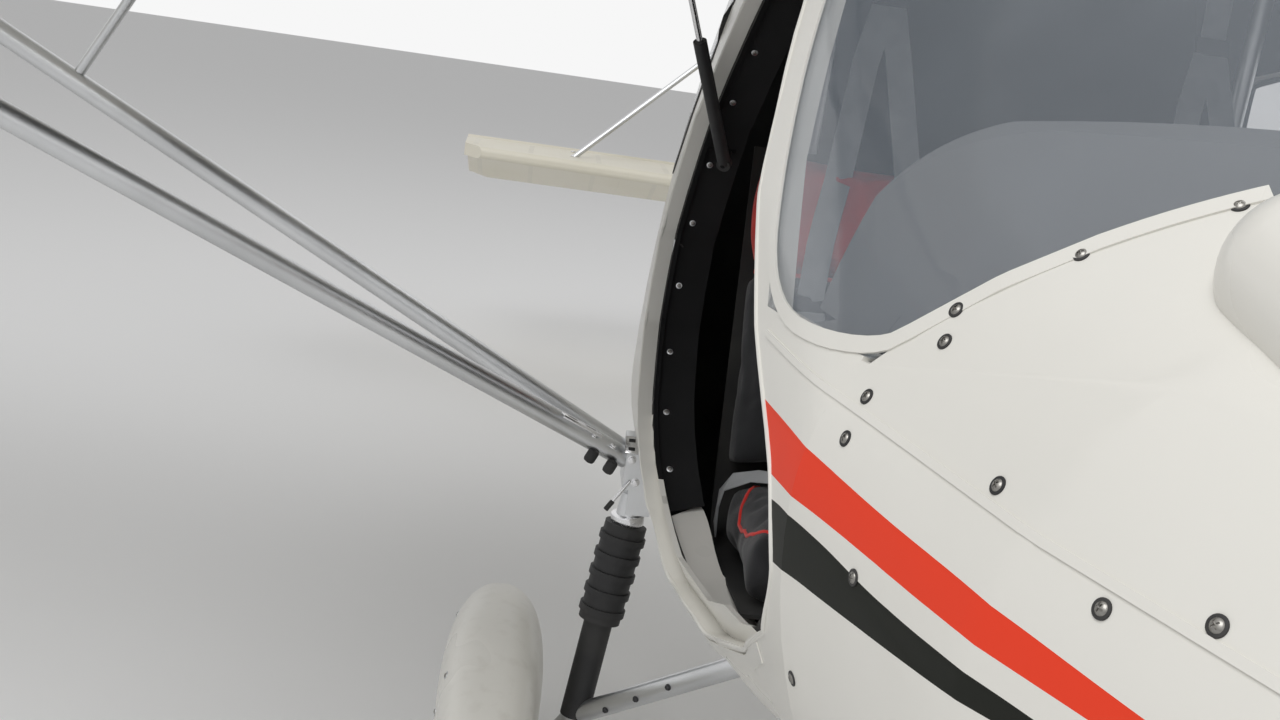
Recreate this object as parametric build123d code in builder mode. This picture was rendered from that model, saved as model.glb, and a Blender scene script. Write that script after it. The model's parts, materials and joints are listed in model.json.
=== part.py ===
"""Two-seat strut-braced high-wing ultralight aeroplane, built as separate pieces.

Millimetres. X to the aircraft's left, Y aft, Z up, ground at Z = 0, the nose at Y = -3100.
Stations are given as distance behind the tip of the spinner.
"""
import os
from math import atan2, cos, degrees, radians, sin, sqrt

from build123d import *

os.makedirs("parts", exist_ok=True)

# Overall sizes
LENGTH = 6200.0
SPAN = 9450.0
NOSE_Y = -LENGTH / 2
CLEAR = 6.0

# Pod and tail cone: station, belly half width, belly z, widest half width, its z,
# shoulder half width, shoulder z, crown z
POD = (
    (270, 110, 900, 235, 1120, 160, 1290, 1345),
    (560, 130, 690, 420, 1090, 330, 1320, 1425),
    (860, 110, 600, 535, 1090, 440, 1330, 1475),
    (1150, 60, 560, 602, 1120, 565, 1250, 1625),
    (1550, 90, 500, 628, 1110, 550, 1600, 1850),
    (1710, 130, 485, 640, 1020, 508, 1832, 1856),
    (1950, 190, 470, 650, 920, 505, 1838, 1856),
    (2450, 225, 470, 645, 890, 498, 1836, 1856),
    (2900, 170, 520, 560, 990, 420, 1790, 1852),
)
CONE = (
    (2900, 170, 520, 560, 990, 420, 1790, 1852),
    (3700, 110, 645, 380, 1000, 250, 1430, 1550),
    (4700, 60, 770, 205, 985, 130, 1205, 1285),
    (5560, 20, 838, 46, 955, 34, 1062, 1096),
)
CABIN_WALL = 26.0
DOOR_WALL = 18.0
COWL_WALL = 6.0
GLASS = 4.0
FLANGE_FACE = 24.0
FLANGE_BACK = 32.0
FLANGE_WIDTH = 26.0
SILL_WIDTH = 46.0
SILL_TOP = 775.0
SPLIT_S = 1150.0
SEAM_Z = 1225.0

# Side outlines, station and height
DOOR_EDGE = (
    (1730, 1836), (1650, 1560), (1545, 1335), (1400, 1212), (1235, 1125), (1182, 1045),
    (1240, 955), (1560, 775), (1800, 672), (1960, 676), (2070, 748), (2215, 880),
    (2325, 1000), (2372, 1160), (2310, 1370), (2150, 1590), (2085, 1836),
)
DOOR_WINDOW = (
    (1760, 1760), (1715, 1560), (1610, 1350), (1480, 1215), (1540, 1150), (2240, 1120),
    (2300, 1180), (2240, 1360), (2090, 1570), (2035, 1760),
)
SCREEN_EDGE = (
    (900, 1500), (1000, 1445), (1052, 1378), (1100, 1315), (1140, 1258), (1380, 1243),
    (1500, 1385), (1590, 1570), (1655, 1790), (1600, 1900), (900, 1900),
)
UPPER_COWL_EDGE = (
    (260, 1225), (1372, 1225), (1378, 1239), (1138, 1254), (1098, 1312), (1050, 1375),
    (998, 1442), (896, 1497), (880, 1560), (260, 1560),
)
REAR_WINDOW = ((2440, 1250), (2760, 1290), (2700, 1560), (2330, 1640), (2380, 1420))

DOOR_HINGE_X = 520.0
DOOR_HINGE_Z = 1836.0
DOOR_OPEN = 68.0
DOOR_HINGES = (1800.0, 2020.0)
FIT = 0.08

# Blisters of the upper cowl over the cylinder heads
BLISTER_AFT = (342.0, 905.0, 1402.0)
BLISTER_FRONT = (325.0, 600.0, 1322.0)
BLISTER_R = 62.0

# Wing
WING_LE_S = 1550.0
WING_Z = 1852.0
WING_ROOT_X = 545.0
WING_TIP_X = SPAN / 2
WING_RISE = 48.0
BOX_CHORD = 985.0
FLAP_HINGE_C = 1036.0
FLAP_HINGE_H = 66.0
FLAP_NOSE_R = 44.0
WING_CHORD = 1340.0
FLAP_X = (612.0, 2330.0)
AILERON_X = (2350.0, 4560.0)
HINGE_PLATES = (602.0, 2340.0, 4568.0)

# Struts and main gear, on one side
FITTING = (634.0, 2350.0, 730.0)
STRUT_FRONT = (2850.0, 1625.0, 1880.0)
STRUT_REAR = (2880.0, 2500.0, 1882.0)
STRUT_R = 19.0
AXLE = (830.0, 2290.0, 170.0)
TYRE_R = 170.0
TYRE_W = 100.0
RIM_R = 70.0

# Nose gear
NOSE_AXLE_S = 850.0
NOSE_TYRE_R = 150.0
NOSE_TYRE_W = 90.0
NOSE_RIM_R = 62.0
TOW_R = 11.0
TOW_X = (88.0, 112.0)

# Propeller
PROP_Z = 1150.0
PROP_R = 865.0
BLADE_S = 150.0
SPINNER_R = 140.0
SPINNER_END_S = 258.0

# Tail
TAIL_Z = 925.0
TAIL_HINGE_S = 5596.0
TAIL_TUBE_R = 17.0
ELEVATOR_ROOT = 66.0
ELEVATOR_DROOP = 27.0
RUDDER_HINGE_S = 5790.0
RUDDER_TABS = (1250.0, 1750.0, 2230.0)
FIN_EDGE = (
    (4560, 1250), (5010, 1400), (5190, 1560), (5440, 2210), (5540, 2325), (5700, 2336),
    (5758, 2336), (5758, 1050), (4560, 1050),
)
RUDDER_EDGE = (
    (5700, 1100), (5700, 2338), (6010, 2338), (6120, 2250), (6200, 1700), (6200, 1420),
    (6110, 1100),
)


def at(s):
    """Y of a station."""
    return NOSE_Y + s


def yz(points):
    """Station and height pairs as sketch points of the YZ plane."""
    return [(at(s), z) for s, z in points]


def tangent_mid(w, zm, wt, zt):
    """Middle of the arc that leaves (w, zm) upright and ends at (wt, zt)."""
    rise = zt - zm
    radius = ((w - wt) ** 2 + rise ** 2) / (2 * (w - wt))
    half = degrees(atan2(abs(rise), radius - (w - wt))) / 2
    dx = radius * (1 - cos(radians(half)))
    dz = radius * sin(radians(half)) * (1 if rise > 0 else -1)
    return w - dx, zm + dz


def hull(rows, inset=0.0, trim=(0.0, 0.0)):
    """Loft of the pod or cone, drawn in by inset."""
    with BuildPart() as body:
        for n, (s, wb, zb, w, zm, wt, zt, zc) in enumerate(rows):
            if n == 0:
                s += trim[0]
            if n == len(rows) - 1:
                s += trim[1]
            zb, w, zc = zb + inset, w - inset, zc - inset
            wb, wt, zt = wb - inset * 0.3, wt - inset * 0.8, zt - inset * 0.6
            lx, lz = tangent_mid(w, zm, wb, zb)
            ux, uz = tangent_mid(w, zm, wt, zt)
            with BuildSketch(Plane.XZ.offset(-at(s))):
                with BuildLine():
                    Line((-wb, zb), (wb, zb))
                    ThreePointArc((wb, zb), (lx, lz), (w, zm))
                    ThreePointArc((w, zm), (ux, uz), (wt, zt))
                    ThreePointArc((wt, zt), (0, zc), (-wt, zt))
                    ThreePointArc((-wt, zt), (-ux, uz), (-w, zm))
                    ThreePointArc((-w, zm), (-lx, lz), (-wb, zb))
                make_face()
        loft(ruled=True)
    return body.part


def prism(points, x0, x1, radius=0.0, grow=0.0):
    """Side outline drawn out from x0 to x1."""
    with BuildPart() as body:
        with BuildSketch(Plane.YZ.offset(x0)) as sk:
            with BuildLine():
                Polyline(*yz(points), close=True)
            make_face()
            if radius:
                fillet(sk.vertices(), radius)
            if grow:
                offset(amount=grow, mode=Mode.REPLACE)
        extrude(amount=x1 - x0)
    return body.part


def slab(s0, s1, x0=-900.0, x1=900.0, z0=200.0, z1=2300.0):
    """Block between two stations."""
    with BuildPart() as body:
        with Locations(((x0 + x1) / 2, (at(s0) + at(s1)) / 2, (z0 + z1) / 2)):
            Box(x1 - x0, s1 - s0, z1 - z0)
    return body.part


def rod(a, b, radius, inner=0.0):
    """Round bar or tube between two points given as x, station, z."""
    start = Vector(a[0], at(a[1]), a[2])
    end = Vector(b[0], at(b[1]), b[2])
    along = end - start
    with BuildPart() as body:
        with BuildSketch(Plane(origin=start, z_dir=along)):
            Circle(radius)
            if inner:
                Circle(inner, mode=Mode.SUBTRACT)
        extrude(amount=along.length)
    return body.part


def save(builder, name):
    """Label a finished piece and write its file."""
    builder.part.label = name
    export_step(builder.part, f"parts/{name}.step")


pod_outer = hull(POD)
pod_inner = hull(POD, CABIN_WALL, (20.0, -20.0))
cowl_inner = hull(POD, COWL_WALL, (14.0, -20.0))
door_inner = hull(POD, DOOR_WALL, (20.0, -20.0))
glass_inner = hull(POD, GLASS, (20.0, -20.0))
screen_back = hull(POD, CABIN_WALL + 0.5, (20.0, -20.0))
door_hole = prism(DOOR_EDGE, 380, 760, 30.0)
door_hole_right = prism(DOOR_EDGE, -760, -380, 30.0)
door_blank = prism(DOOR_EDGE, 492, 760, 30.0, -CLEAR)
flange_ring = prism(DOOR_EDGE, 380, 760, 30.0, 14.0)
flange_gap = prism(DOOR_EDGE, 300, 800, 30.0, -FLANGE_WIDTH)
sill_gap = prism(DOOR_EDGE, 300, 800, 30.0, -SILL_WIDTH)
window_hole = prism(DOOR_WINDOW, 380, 760, 40.0)
window_pane = prism(DOOR_WINDOW, 380, 760, 40.0, -0.3)
rear_hole = prism(REAR_WINDOW, 300, 760, 50.0)
rear_hole_right = prism(REAR_WINDOW, -760, -300, 50.0)
screen_hole = prism(SCREEN_EDGE, -760, 760)
upper_cowl_zone = prism(UPPER_COWL_EDGE, -760, 760)

# Rebate flange that the shut door rests behind, wider along the sill
with BuildPart() as flange_upper:
    add(hull(POD, FLANGE_FACE))
    add(hull(POD, FLANGE_BACK, (20.0, -20.0)), mode=Mode.SUBTRACT)
    add(flange_ring, mode=Mode.INTERSECT)

with BuildPart() as sill_flange:
    add(flange_upper.part)
    add(sill_gap, mode=Mode.SUBTRACT)
    add(slab(1000, 2600, z1=SILL_TOP), mode=Mode.INTERSECT)

with BuildPart() as door_flange:
    add(flange_upper.part)
    add(flange_gap, mode=Mode.SUBTRACT)
    add(sill_flange.part)

# Gas struts: foot on the door frame, upper end at a stud on the door
STAY_S = (2050.0, 2290.0)
STAY_DOOR = (500.0, 1590.0)
STAY_FOOT = (556.0, 1293.0)
STAY_TUBE = 235.0
STAY_TUBE_R = 11.0
STAY_ROD = 320.0
STAY_ROD_R = 5.0
STAY_PIN_R = 4.0
STAY_BALL_R = 7.0
STUD_R = 5.0
STUD_SEAT = (-9.2, -8.1)
STUD_REACH = (-5.0, 66.0)


def turned(x, z, angle):
    """Place in the XZ plane after a swing about the left door's hinge line."""
    dx, dz = x - DOOR_HINGE_X, z - DOOR_HINGE_Z
    c, s = cos(radians(angle)), sin(radians(angle))
    return DOOR_HINGE_X + dx * c - dz * s, DOOR_HINGE_Z + dx * s + dz * c


STAY_OPEN = turned(*STAY_DOOR, DOOR_OPEN)
stay_foot = Vector(STAY_FOOT[0], at(STAY_S[1]), STAY_FOOT[1])
stay_shut = Vector(STAY_DOOR[0], at(STAY_S[0]), STAY_DOOR[1])
stay_wide = Vector(STAY_OPEN[0], at(STAY_S[0]), STAY_OPEN[1])
stay_axis = (stay_shut - stay_foot).cross(stay_wide - stay_foot).normalized()


def pin(centre, along, before, after, radius):
    """Round pin through a point."""
    with BuildPart() as body:
        with BuildSketch(Plane(origin=centre - along * before, z_dir=along)):
            Circle(radius)
        extrude(amount=before + after)
    return body.part


stay_boss = stay_foot + stay_axis * 40
with BuildPart() as stay_bracket:
    add(pin(stay_foot, stay_axis, 9, 42, STAY_PIN_R))
    add(pin(stay_boss, Vector(1, 0, 0), 7, 46, 9))

# Cabin
with BuildPart() as cabin_shell:
    add(pod_outer)
    add(pod_inner, mode=Mode.SUBTRACT)
    add(slab(200, SPLIT_S), mode=Mode.SUBTRACT)
    add(screen_hole, mode=Mode.SUBTRACT)
    add(upper_cowl_zone, mode=Mode.SUBTRACT)
    add(door_hole, mode=Mode.SUBTRACT)
    add(door_hole_right, mode=Mode.SUBTRACT)
    add(rear_hole, mode=Mode.SUBTRACT)
    add(rear_hole_right, mode=Mode.SUBTRACT)
    add(door_flange.part)
    add(mirror(door_flange.part, about=Plane.YZ, mode=Mode.PRIVATE))
    add(stay_bracket.part)
    add(mirror(stay_bracket.part, about=Plane.YZ, mode=Mode.PRIVATE))
    for side in (-1, 1):
        for s in DOOR_HINGES:
            add(rod((side * DOOR_HINGE_X, s - 34, DOOR_HINGE_Z),
                    (side * DOOR_HINGE_X, s + 34, DOOR_HINGE_Z), 4))
            for end in (-28, 28):
                with Locations((side * (DOOR_HINGE_X - 16), at(s + end), DOOR_HINGE_Z + 4)):
                    Box(38, 11, 9)
save(cabin_shell, "cabin_shell")

with BuildPart() as windscreen:
    add(pod_outer)
    add(glass_inner, mode=Mode.SUBTRACT)
    add(screen_hole, mode=Mode.INTERSECT)
save(windscreen, "windscreen")


with BuildPart() as rear_glass:
    add(pod_outer)
    add(glass_inner, mode=Mode.SUBTRACT)
    add(rear_hole, mode=Mode.INTERSECT)
    mirror(about=Plane.YZ)
save(rear_glass, "rear_glass")


def blister(inset):
    """Long rounded humps over both cylinder heads, drawn in by inset."""
    with BuildPart() as body:
        for side in (-1, 1):
            ends = [(side * x, y, z) for x, y, z in (BLISTER_AFT, BLISTER_FRONT)]
            add(rod(*ends, BLISTER_R - inset))
            for x, y, z in ends:
                with Locations((x, at(y), z)):
                    Sphere(BLISTER_R - inset)
    return body.part


with BuildPart() as cowl_upper:
    add(pod_outer)
    add(blister(0))
    add(cowl_inner, mode=Mode.SUBTRACT)
    add(blister(COWL_WALL), mode=Mode.SUBTRACT)
    add(upper_cowl_zone, mode=Mode.INTERSECT)
    with BuildSketch(Plane.XZ.offset(-at(200))):
        with Locations((0, PROP_Z)):
            Circle(95)
    extrude(amount=-120, mode=Mode.SUBTRACT)
save(cowl_upper, "cowl_upper")

with BuildPart() as cowl_lower:
    add(pod_outer)
    add(cowl_inner, mode=Mode.SUBTRACT)
    add(slab(200, SPLIT_S, z1=SEAM_Z), mode=Mode.INTERSECT)
    with BuildSketch(Plane.XZ.offset(-at(200))):
        with Locations((0, PROP_Z)):
            Circle(95)
        with Locations((-165, 1110), (165, 1110)):
            Ellipse(40, 62)
        with Locations((0, 960)):
            SlotOverall(170, 60)
    extrude(amount=-120, mode=Mode.SUBTRACT)
    with Locations((0, at(800), 560)):
        Box(100, 210, 240, mode=Mode.SUBTRACT)
save(cowl_lower, "cowl_lower")

with BuildPart() as tail_cone:
    add(hull(CONE))
    with Locations((0, at(5480), 838)):
        Box(24, 130, 66)
save(tail_cone, "tail_cone")

with BuildPart() as firewall:
    with BuildSketch(Plane.XZ.offset(-at(1120))):
        with BuildLine():
            Polyline((-600, 400), (600, 400), (600, 1240), (400, 1330), (-400, 1330),
                     (-600, 1240), close=True)
        make_face()
    extrude(amount=-12)
    add(cowl_inner, mode=Mode.INTERSECT)
save(firewall, "firewall")

with BuildPart() as engine_block:
    with Locations((0, at(640), 1090)):
        Box(420, 420, 280)
    with Locations((0, at(395), PROP_Z)):
        Cylinder(70, 110, rotation=(90, 0, 0))
    with Locations((0, at(982.5), 1010)):
        Box(70, 275, 70)
    add(rod((0, 330, PROP_Z), (0, 372, PROP_Z), 30 + FIT), mode=Mode.SUBTRACT)
save(engine_block, "engine_block")

# Roof between the wings
with BuildPart() as roof_panel:
    with BuildSketch(Plane.YZ.offset(-533)):
        with BuildLine():
            Polyline((at(1600), 1840), (at(1556), 1925), (at(1600), 1985), (at(1880), 2026),
                     (at(2530), 1972), (at(3060), 1850), (at(2900), 1826), close=True)
        make_face()
    extrude(amount=1066)
    add(pod_outer, mode=Mode.SUBTRACT)
    add(tail_cone.part, mode=Mode.SUBTRACT)
    for side in (-1, 1):
        add(rod((side * DOOR_HINGE_X, 1722, DOOR_HINGE_Z),
                (side * DOOR_HINGE_X, 2094, DOOR_HINGE_Z), 22), mode=Mode.SUBTRACT)
    add(cabin_shell.part, mode=Mode.SUBTRACT)
save(roof_panel, "roof_panel")

# Floor, seats and panel
with BuildPart() as cabin_floor:
    with Locations((0, at(1860), 532)):
        Box(1000, 1290, 16)
    add(pod_inner, mode=Mode.INTERSECT)
save(cabin_floor, "cabin_floor")

with BuildPart() as centre_tube:
    add(rod((0, 1132, 650), (0, 2830, 650), 62))
    add(pod_inner, mode=Mode.INTERSECT)
save(centre_tube, "centre_tube")

with BuildPart() as control_stick:
    add(rod((0, 1610, 690), (0, 1590, 930), 11))
    add(rod((0, 1590, 930), (0, 1600, 1050), 17))
    with Locations((0, at(1600), 1050)):
        Sphere(17)
    add(centre_tube.part, mode=Mode.SUBTRACT)
save(control_stick, "control_stick")

with BuildPart() as rear_bulkhead:
    add(slab(2830, 2842, z0=400, z1=1900))
    add(pod_inner, mode=Mode.INTERSECT)
save(rear_bulkhead, "rear_bulkhead")

with BuildPart() as glareshield:
    with BuildSketch(Plane.XZ.offset(-at(1000))):
        with BuildLine():
            ThreePointArc((-575, 1262), (-528, 1388), (-420, 1462))
            ThreePointArc((-420, 1462), (0, 1494), (420, 1462))
            ThreePointArc((420, 1462), (528, 1388), (575, 1262))
            Line((575, 1262), (-575, 1262))
        make_face()
    extrude(amount=-310)
    add(screen_back, mode=Mode.INTERSECT)

with BuildPart() as instrument_panel:
    with BuildSketch(Plane.YZ.offset(-600)):
        with BuildLine():
            Polyline((at(1180), 1030), (at(1290), 1010), (at(1330), 1240), (at(1180), 1290),
                     close=True)
        make_face()
    extrude(amount=1200)
    add(pod_inner, mode=Mode.INTERSECT)
    add(glareshield.part)
    add(firewall.part, mode=Mode.SUBTRACT)
    add(cabin_shell.part, mode=Mode.SUBTRACT)
save(instrument_panel, "instrument_panel")

with BuildPart() as seat_right:
    with BuildSketch(Plane.YZ.offset(-500)):
        with BuildLine():
            Polyline((at(1780), 700), (at(2180), 640), (at(2400), 1330), (at(2320), 1360),
                     (at(2120), 800), (at(1790), 815), close=True)
        make_face()
    extrude(amount=410)
    fillet(seat_right.edges().filter_by(Axis.X), 20)
save(seat_right, "seat_right")

with BuildPart() as seat_left:
    mirror(seat_right.part, about=Plane.YZ)
save(seat_left, "seat_left")

with BuildPart() as seat_pan:
    with BuildSketch(Plane.YZ.offset(-380)):
        with BuildLine():
            Polyline((at(1800), 540), (at(2170), 540), (at(2170), 641.5), (at(1800), 697),
                     close=True)
        make_face()
    extrude(amount=290)
    mirror(about=Plane.YZ)
    add(pod_inner, mode=Mode.INTERSECT)
    add(cabin_shell.part, mode=Mode.SUBTRACT)
save(seat_pan, "seat_pan")

with BuildPart() as cabin_frame:
    for side in (-1, 1):
        add(rod((side * 448, 1775, 1775), (side * 430, 2640, 1775), 16))
        add(rod((side * 385, 2460, 540), (side * 385, 2460, 1791), 16))
    add(rod((-446, 1795, 1775), (446, 1795, 1775), 16))
    add(rod((-432, 2460, 1775), (432, 2460, 1775), 16))
    for s in (1795, 2460):
        add(rod((0, s, 1775), (0, s, 1900), 14))
    add(pod_inner, mode=Mode.INTERSECT)
save(cabin_frame, "cabin_frame")

# Wings
wing_slope = WING_RISE / (WING_TIP_X - WING_ROOT_X)


def wing_z(x):
    """Height of the wing's datum at a distance from the middle."""
    return WING_Z + (abs(x) - WING_ROOT_X) * wing_slope


def wing_section(x, scale=1.0, short=0.0):
    """Sketch of the fixed wing's section at x."""
    y0, z0 = at(WING_LE_S) + short, wing_z(x)
    mid = 70 * (1 - scale)
    with BuildSketch(Plane.YZ.offset(x)) as sk:
        with BuildLine():
            ThreePointArc((y0 + 50, z0 + 8 * scale + mid), (y0, z0 + 70 * scale + mid),
                          (y0 + 62, z0 + 132 * scale + mid))
            ThreePointArc((y0 + 62, z0 + 132 * scale + mid), (y0 + 400, z0 + 172 * scale + mid),
                          (y0 + BOX_CHORD - short, z0 + 118 * scale + mid))
            Line((y0 + BOX_CHORD - short, z0 + 118 * scale + mid),
                 (y0 + BOX_CHORD - short, z0 + 14 * scale + mid))
            Line((y0 + BOX_CHORD - short, z0 + 14 * scale + mid), (y0 + 50, z0 + 8 * scale + mid))
        make_face()
    return sk.sketch


def hinge_bar(x0, x1, radius):
    """Bar on the flap and aileron hinge line of the left wing."""
    s = WING_LE_S + FLAP_HINGE_C
    return rod((x0, s, wing_z(x0) + FLAP_HINGE_H), (x1, s, wing_z(x1) + FLAP_HINGE_H), radius)


with BuildPart() as wing_left:
    add(wing_section(WING_ROOT_X))
    add(wing_section(4610))
    loft()
    add(wing_section(4610))
    add(wing_section(WING_TIP_X, 0.35, 60))
    loft()
    y_end = at(WING_LE_S) + BOX_CHORD
    with Locations((4643, y_end + 170, wing_z(4640) + 62)):
        Box(150, 350, 60)
    for x in HINGE_PLATES:
        with Locations((x, y_end + 30, wing_z(x) + FLAP_HINGE_H)):
            Box(6, 90, 44)
    add(hinge_bar(590, 4580, 5 + FIT), mode=Mode.SUBTRACT)
save(wing_left, "wing_left")

with BuildPart() as wing_right:
    mirror(wing_left.part, about=Plane.YZ)
save(wing_right, "wing_right")


def flap(x0, x1):
    """Trailing surface between two spans, on the left wing."""
    with BuildPart() as body:
        for x in (x0, x1):
            y0 = at(WING_LE_S)
            yc, zc = y0 + FLAP_HINGE_C, wing_z(x) + FLAP_HINGE_H
            yt, zt = y0 + WING_CHORD, wing_z(x) + 22
            with BuildSketch(Plane.YZ.offset(x)):
                with BuildLine():
                    lower = (yc + FLAP_NOSE_R * cos(radians(-96)),
                             zc + FLAP_NOSE_R * sin(radians(-96)))
                    upper = (yc + FLAP_NOSE_R * cos(radians(76)),
                             zc + FLAP_NOSE_R * sin(radians(76)))
                    ThreePointArc(lower, (yc - FLAP_NOSE_R, zc), upper)
                    Polyline(upper, (yt, zt + 3), (yt, zt - 3), lower)
                make_face()
        loft()
    return body.part


with BuildPart() as flap_left:
    add(flap(*FLAP_X))
    add(hinge_bar(600, FLAP_X[0] + 10, 5))
    add(hinge_bar(FLAP_X[1] - 10, 2339.9, 5))
save(flap_left, "flap_left")

with BuildPart() as flap_right:
    mirror(flap_left.part, about=Plane.YZ)
save(flap_right, "flap_right")

with BuildPart() as aileron_left:
    add(flap(*AILERON_X))
    add(hinge_bar(2340.1, AILERON_X[0] + 10, 5))
    add(hinge_bar(AILERON_X[1] - 10, 4570, 5))
save(aileron_left, "aileron_left")

with BuildPart() as aileron_right:
    mirror(aileron_left.part, about=Plane.YZ)
save(aileron_right, "aileron_right")

# Main gear: fitting and lower leg in metal, shock strut in its bellows between them
fx, fs, fz = FITTING
KNUCKLE = (672.0, 2286.0, 240.0)
SHOCK_TOP = (624.0, 2334.0, 612.0)
SHOCK_BREAK = (650.0, 2309.0, 428.0)
with BuildPart() as gear_left:
    with Locations((fx - 25, at(fs), fz)):
        Box(70, 90, 84)
    with Locations((fx - 25, at(fs - 8), fz - 62)):
        Box(44, 60, 60)
    add(rod((fx - 18, fs - 12, fz - 60), SHOCK_TOP, 24))
    add(rod((360, 2036, 538), KNUCKLE, 19))
    add(rod((KNUCKLE[0], KNUCKLE[1], KNUCKLE[2]), (716, AXLE[1], AXLE[2]), 20))
    with Locations((KNUCKLE[0], at(KNUCKLE[1]), KNUCKLE[2])):
        Sphere(25)
    add(rod((695, AXLE[1], AXLE[2]), (AXLE[0] + 44, AXLE[1], AXLE[2]), 14))
    add(rod((700, AXLE[1], AXLE[2]), (762, AXLE[1], AXLE[2]), 40))
    add(pod_outer, mode=Mode.SUBTRACT)
save(gear_left, "gear_left")

with BuildPart() as shock_left:
    add(rod(SHOCK_TOP, SHOCK_BREAK, 39))
    add(rod(SHOCK_BREAK, KNUCKLE, 27))
    for n in range(5):
        share = (n + 0.6) / 5.4
        ring = [a + (b - a) * share for a, b in zip(SHOCK_TOP, SHOCK_BREAK)]
        past = [a + (b - a) * (share + 0.07) for a, b in zip(SHOCK_TOP, SHOCK_BREAK)]
        add(rod(ring, past, 43))
    add(gear_left.part, mode=Mode.SUBTRACT)
save(shock_left, "shock_left")

with BuildPart() as shock_right:
    mirror(shock_left.part, about=Plane.YZ)
save(shock_right, "shock_right")

with BuildPart() as gear_right:
    mirror(gear_left.part, about=Plane.YZ)
save(gear_right, "gear_right")

# Lift struts
with BuildPart() as lift_struts_left:
    add(rod((fx + 10, fs - 20, fz + 10), STRUT_FRONT, STRUT_R))
    add(rod((fx + 10, fs + 20, fz + 10), STRUT_REAR, STRUT_R))
    for top, off in ((STRUT_FRONT, -20), (STRUT_REAR, 20)):
        with Locations((top[0], at(top[1]), top[2] - 12)):
            Box(60, 30, 50)
    with Locations((STRUT_FRONT[0] + 22, at(STRUT_FRONT[1]), 1845)):
        Box(8, 36, 70)
    with Locations((STRUT_FRONT[0] + 22, at(STRUT_FRONT[1]), 1826)):
        Cylinder(8, 12, rotation=(0, 90, 0), mode=Mode.SUBTRACT)
    add(wing_left.part, mode=Mode.SUBTRACT)
    add(gear_left.part, mode=Mode.SUBTRACT)
save(lift_struts_left, "lift_struts_left")

front_mid = [a + 0.52 * (b - a) for a, b in zip((fx + 10, fs - 20, fz + 10), STRUT_FRONT)]
rear_mid = [a + 0.46 * (b - a) for a, b in zip((fx + 10, fs + 20, fz + 10), STRUT_REAR)]
with BuildPart() as jury_struts:
    add(rod(front_mid, (1650, 1660, 1876), 9))
    add(rod(rear_mid, (1330, 2475, 1872), 9))
    add(wing_left.part, mode=Mode.SUBTRACT)
    add(lift_struts_left.part, mode=Mode.SUBTRACT)
    mirror(about=Plane.YZ)
save(jury_struts, "jury_struts")

with BuildPart() as lift_struts_right:
    mirror(lift_struts_left.part, about=Plane.YZ)
save(lift_struts_right, "lift_struts_right")



def tyre(x, s, radius, width, bore):
    """Tyre turned from a half section of straight runs."""
    half = width / 2
    with BuildPart() as body:
        with BuildSketch(Plane.XY.offset(radius)):
            with BuildLine():
                Polyline((x - half + 6, at(s) + bore), (x - half, at(s) + bore + 22),
                         (x - half, at(s) + radius - 42), (x - half + 8, at(s) + radius - 18),
                         (x - half + 24, at(s) + radius - 3), (x, at(s) + radius),
                         (x + half - 24, at(s) + radius - 3), (x + half - 8, at(s) + radius - 18),
                         (x + half, at(s) + radius - 42), (x + half, at(s) + bore + 22),
                         (x + half - 6, at(s) + bore), close=True)
            make_face()
        revolve(axis=Axis((0, at(s), radius), (1, 0, 0)))
    return body.part


with BuildPart() as tyre_left:
    add(tyre(AXLE[0], AXLE[1], TYRE_R, TYRE_W, RIM_R))
save(tyre_left, "tyre_left")

with BuildPart() as rim_left:
    with BuildSketch(Plane.YZ.offset(AXLE[0])):
        with Locations((at(AXLE[1]), AXLE[2])):
            Circle(RIM_R)
            Circle(14 + FIT, mode=Mode.SUBTRACT)
    extrude(amount=38, both=True)
save(rim_left, "rim_left")

with BuildPart() as tyre_right:
    mirror(tyre_left.part, about=Plane.YZ)
save(tyre_right, "tyre_right")

with BuildPart() as rim_right:
    mirror(rim_left.part, about=Plane.YZ)
save(rim_right, "rim_right")

# Wheel covers: station, half width, middle height, half height
SPAT = (
    (1880, 22, 165, 56), (1930, 50, 192, 90), (2030, 76, 224, 128), (2160, 90, 248, 154),
    (2290, 95, 258, 164), (2420, 86, 262, 146), (2540, 58, 274, 96), (2640, 18, 290, 34),
)


def spat_hull(rows, x, inset=0.0):
    """Loft of a wheel cover from station, half width, middle height, half height."""
    with BuildPart() as body:
        for s, hw, z, hz in rows:
            with BuildSketch(Plane.XZ.offset(-at(s))):
                with Locations((x, z)):
                    RectangleRounded(2 * (hw - inset), 2 * (hz - inset), (min(hw, hz) - inset) * 0.8)
        loft(ruled=True)
    return body.part


with BuildPart() as spat_left:
    add(spat_hull(SPAT, AXLE[0] + 4))
    with BuildSketch(Plane.YZ.offset(AXLE[0])):
        with Locations((at(AXLE[1]), AXLE[2])):
            Circle(TYRE_R + 14)
        with Locations((at(AXLE[1]), AXLE[2] - 120)):
            Rectangle(2 * TYRE_R + 28, 240)
    extrude(amount=66, both=True, mode=Mode.SUBTRACT)
    add(gear_left.part, mode=Mode.SUBTRACT)
save(spat_left, "spat_left")

with BuildPart() as spat_right:
    mirror(spat_left.part, about=Plane.YZ)
save(spat_right, "spat_right")

# Nose gear
NOSE_SPAT = (
    (540, 18, 165, 40), (590, 42, 182, 76), (680, 66, 206, 116), (790, 77, 222, 140),
    (900, 80, 226, 146), (1020, 70, 228, 122), (1140, 44, 233, 78), (1240, 14, 240, 28),
)
with BuildPart() as nose_bore:
    with Locations((0, at(800), 640)):
        Cylinder(23 + FIT, 400)

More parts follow.
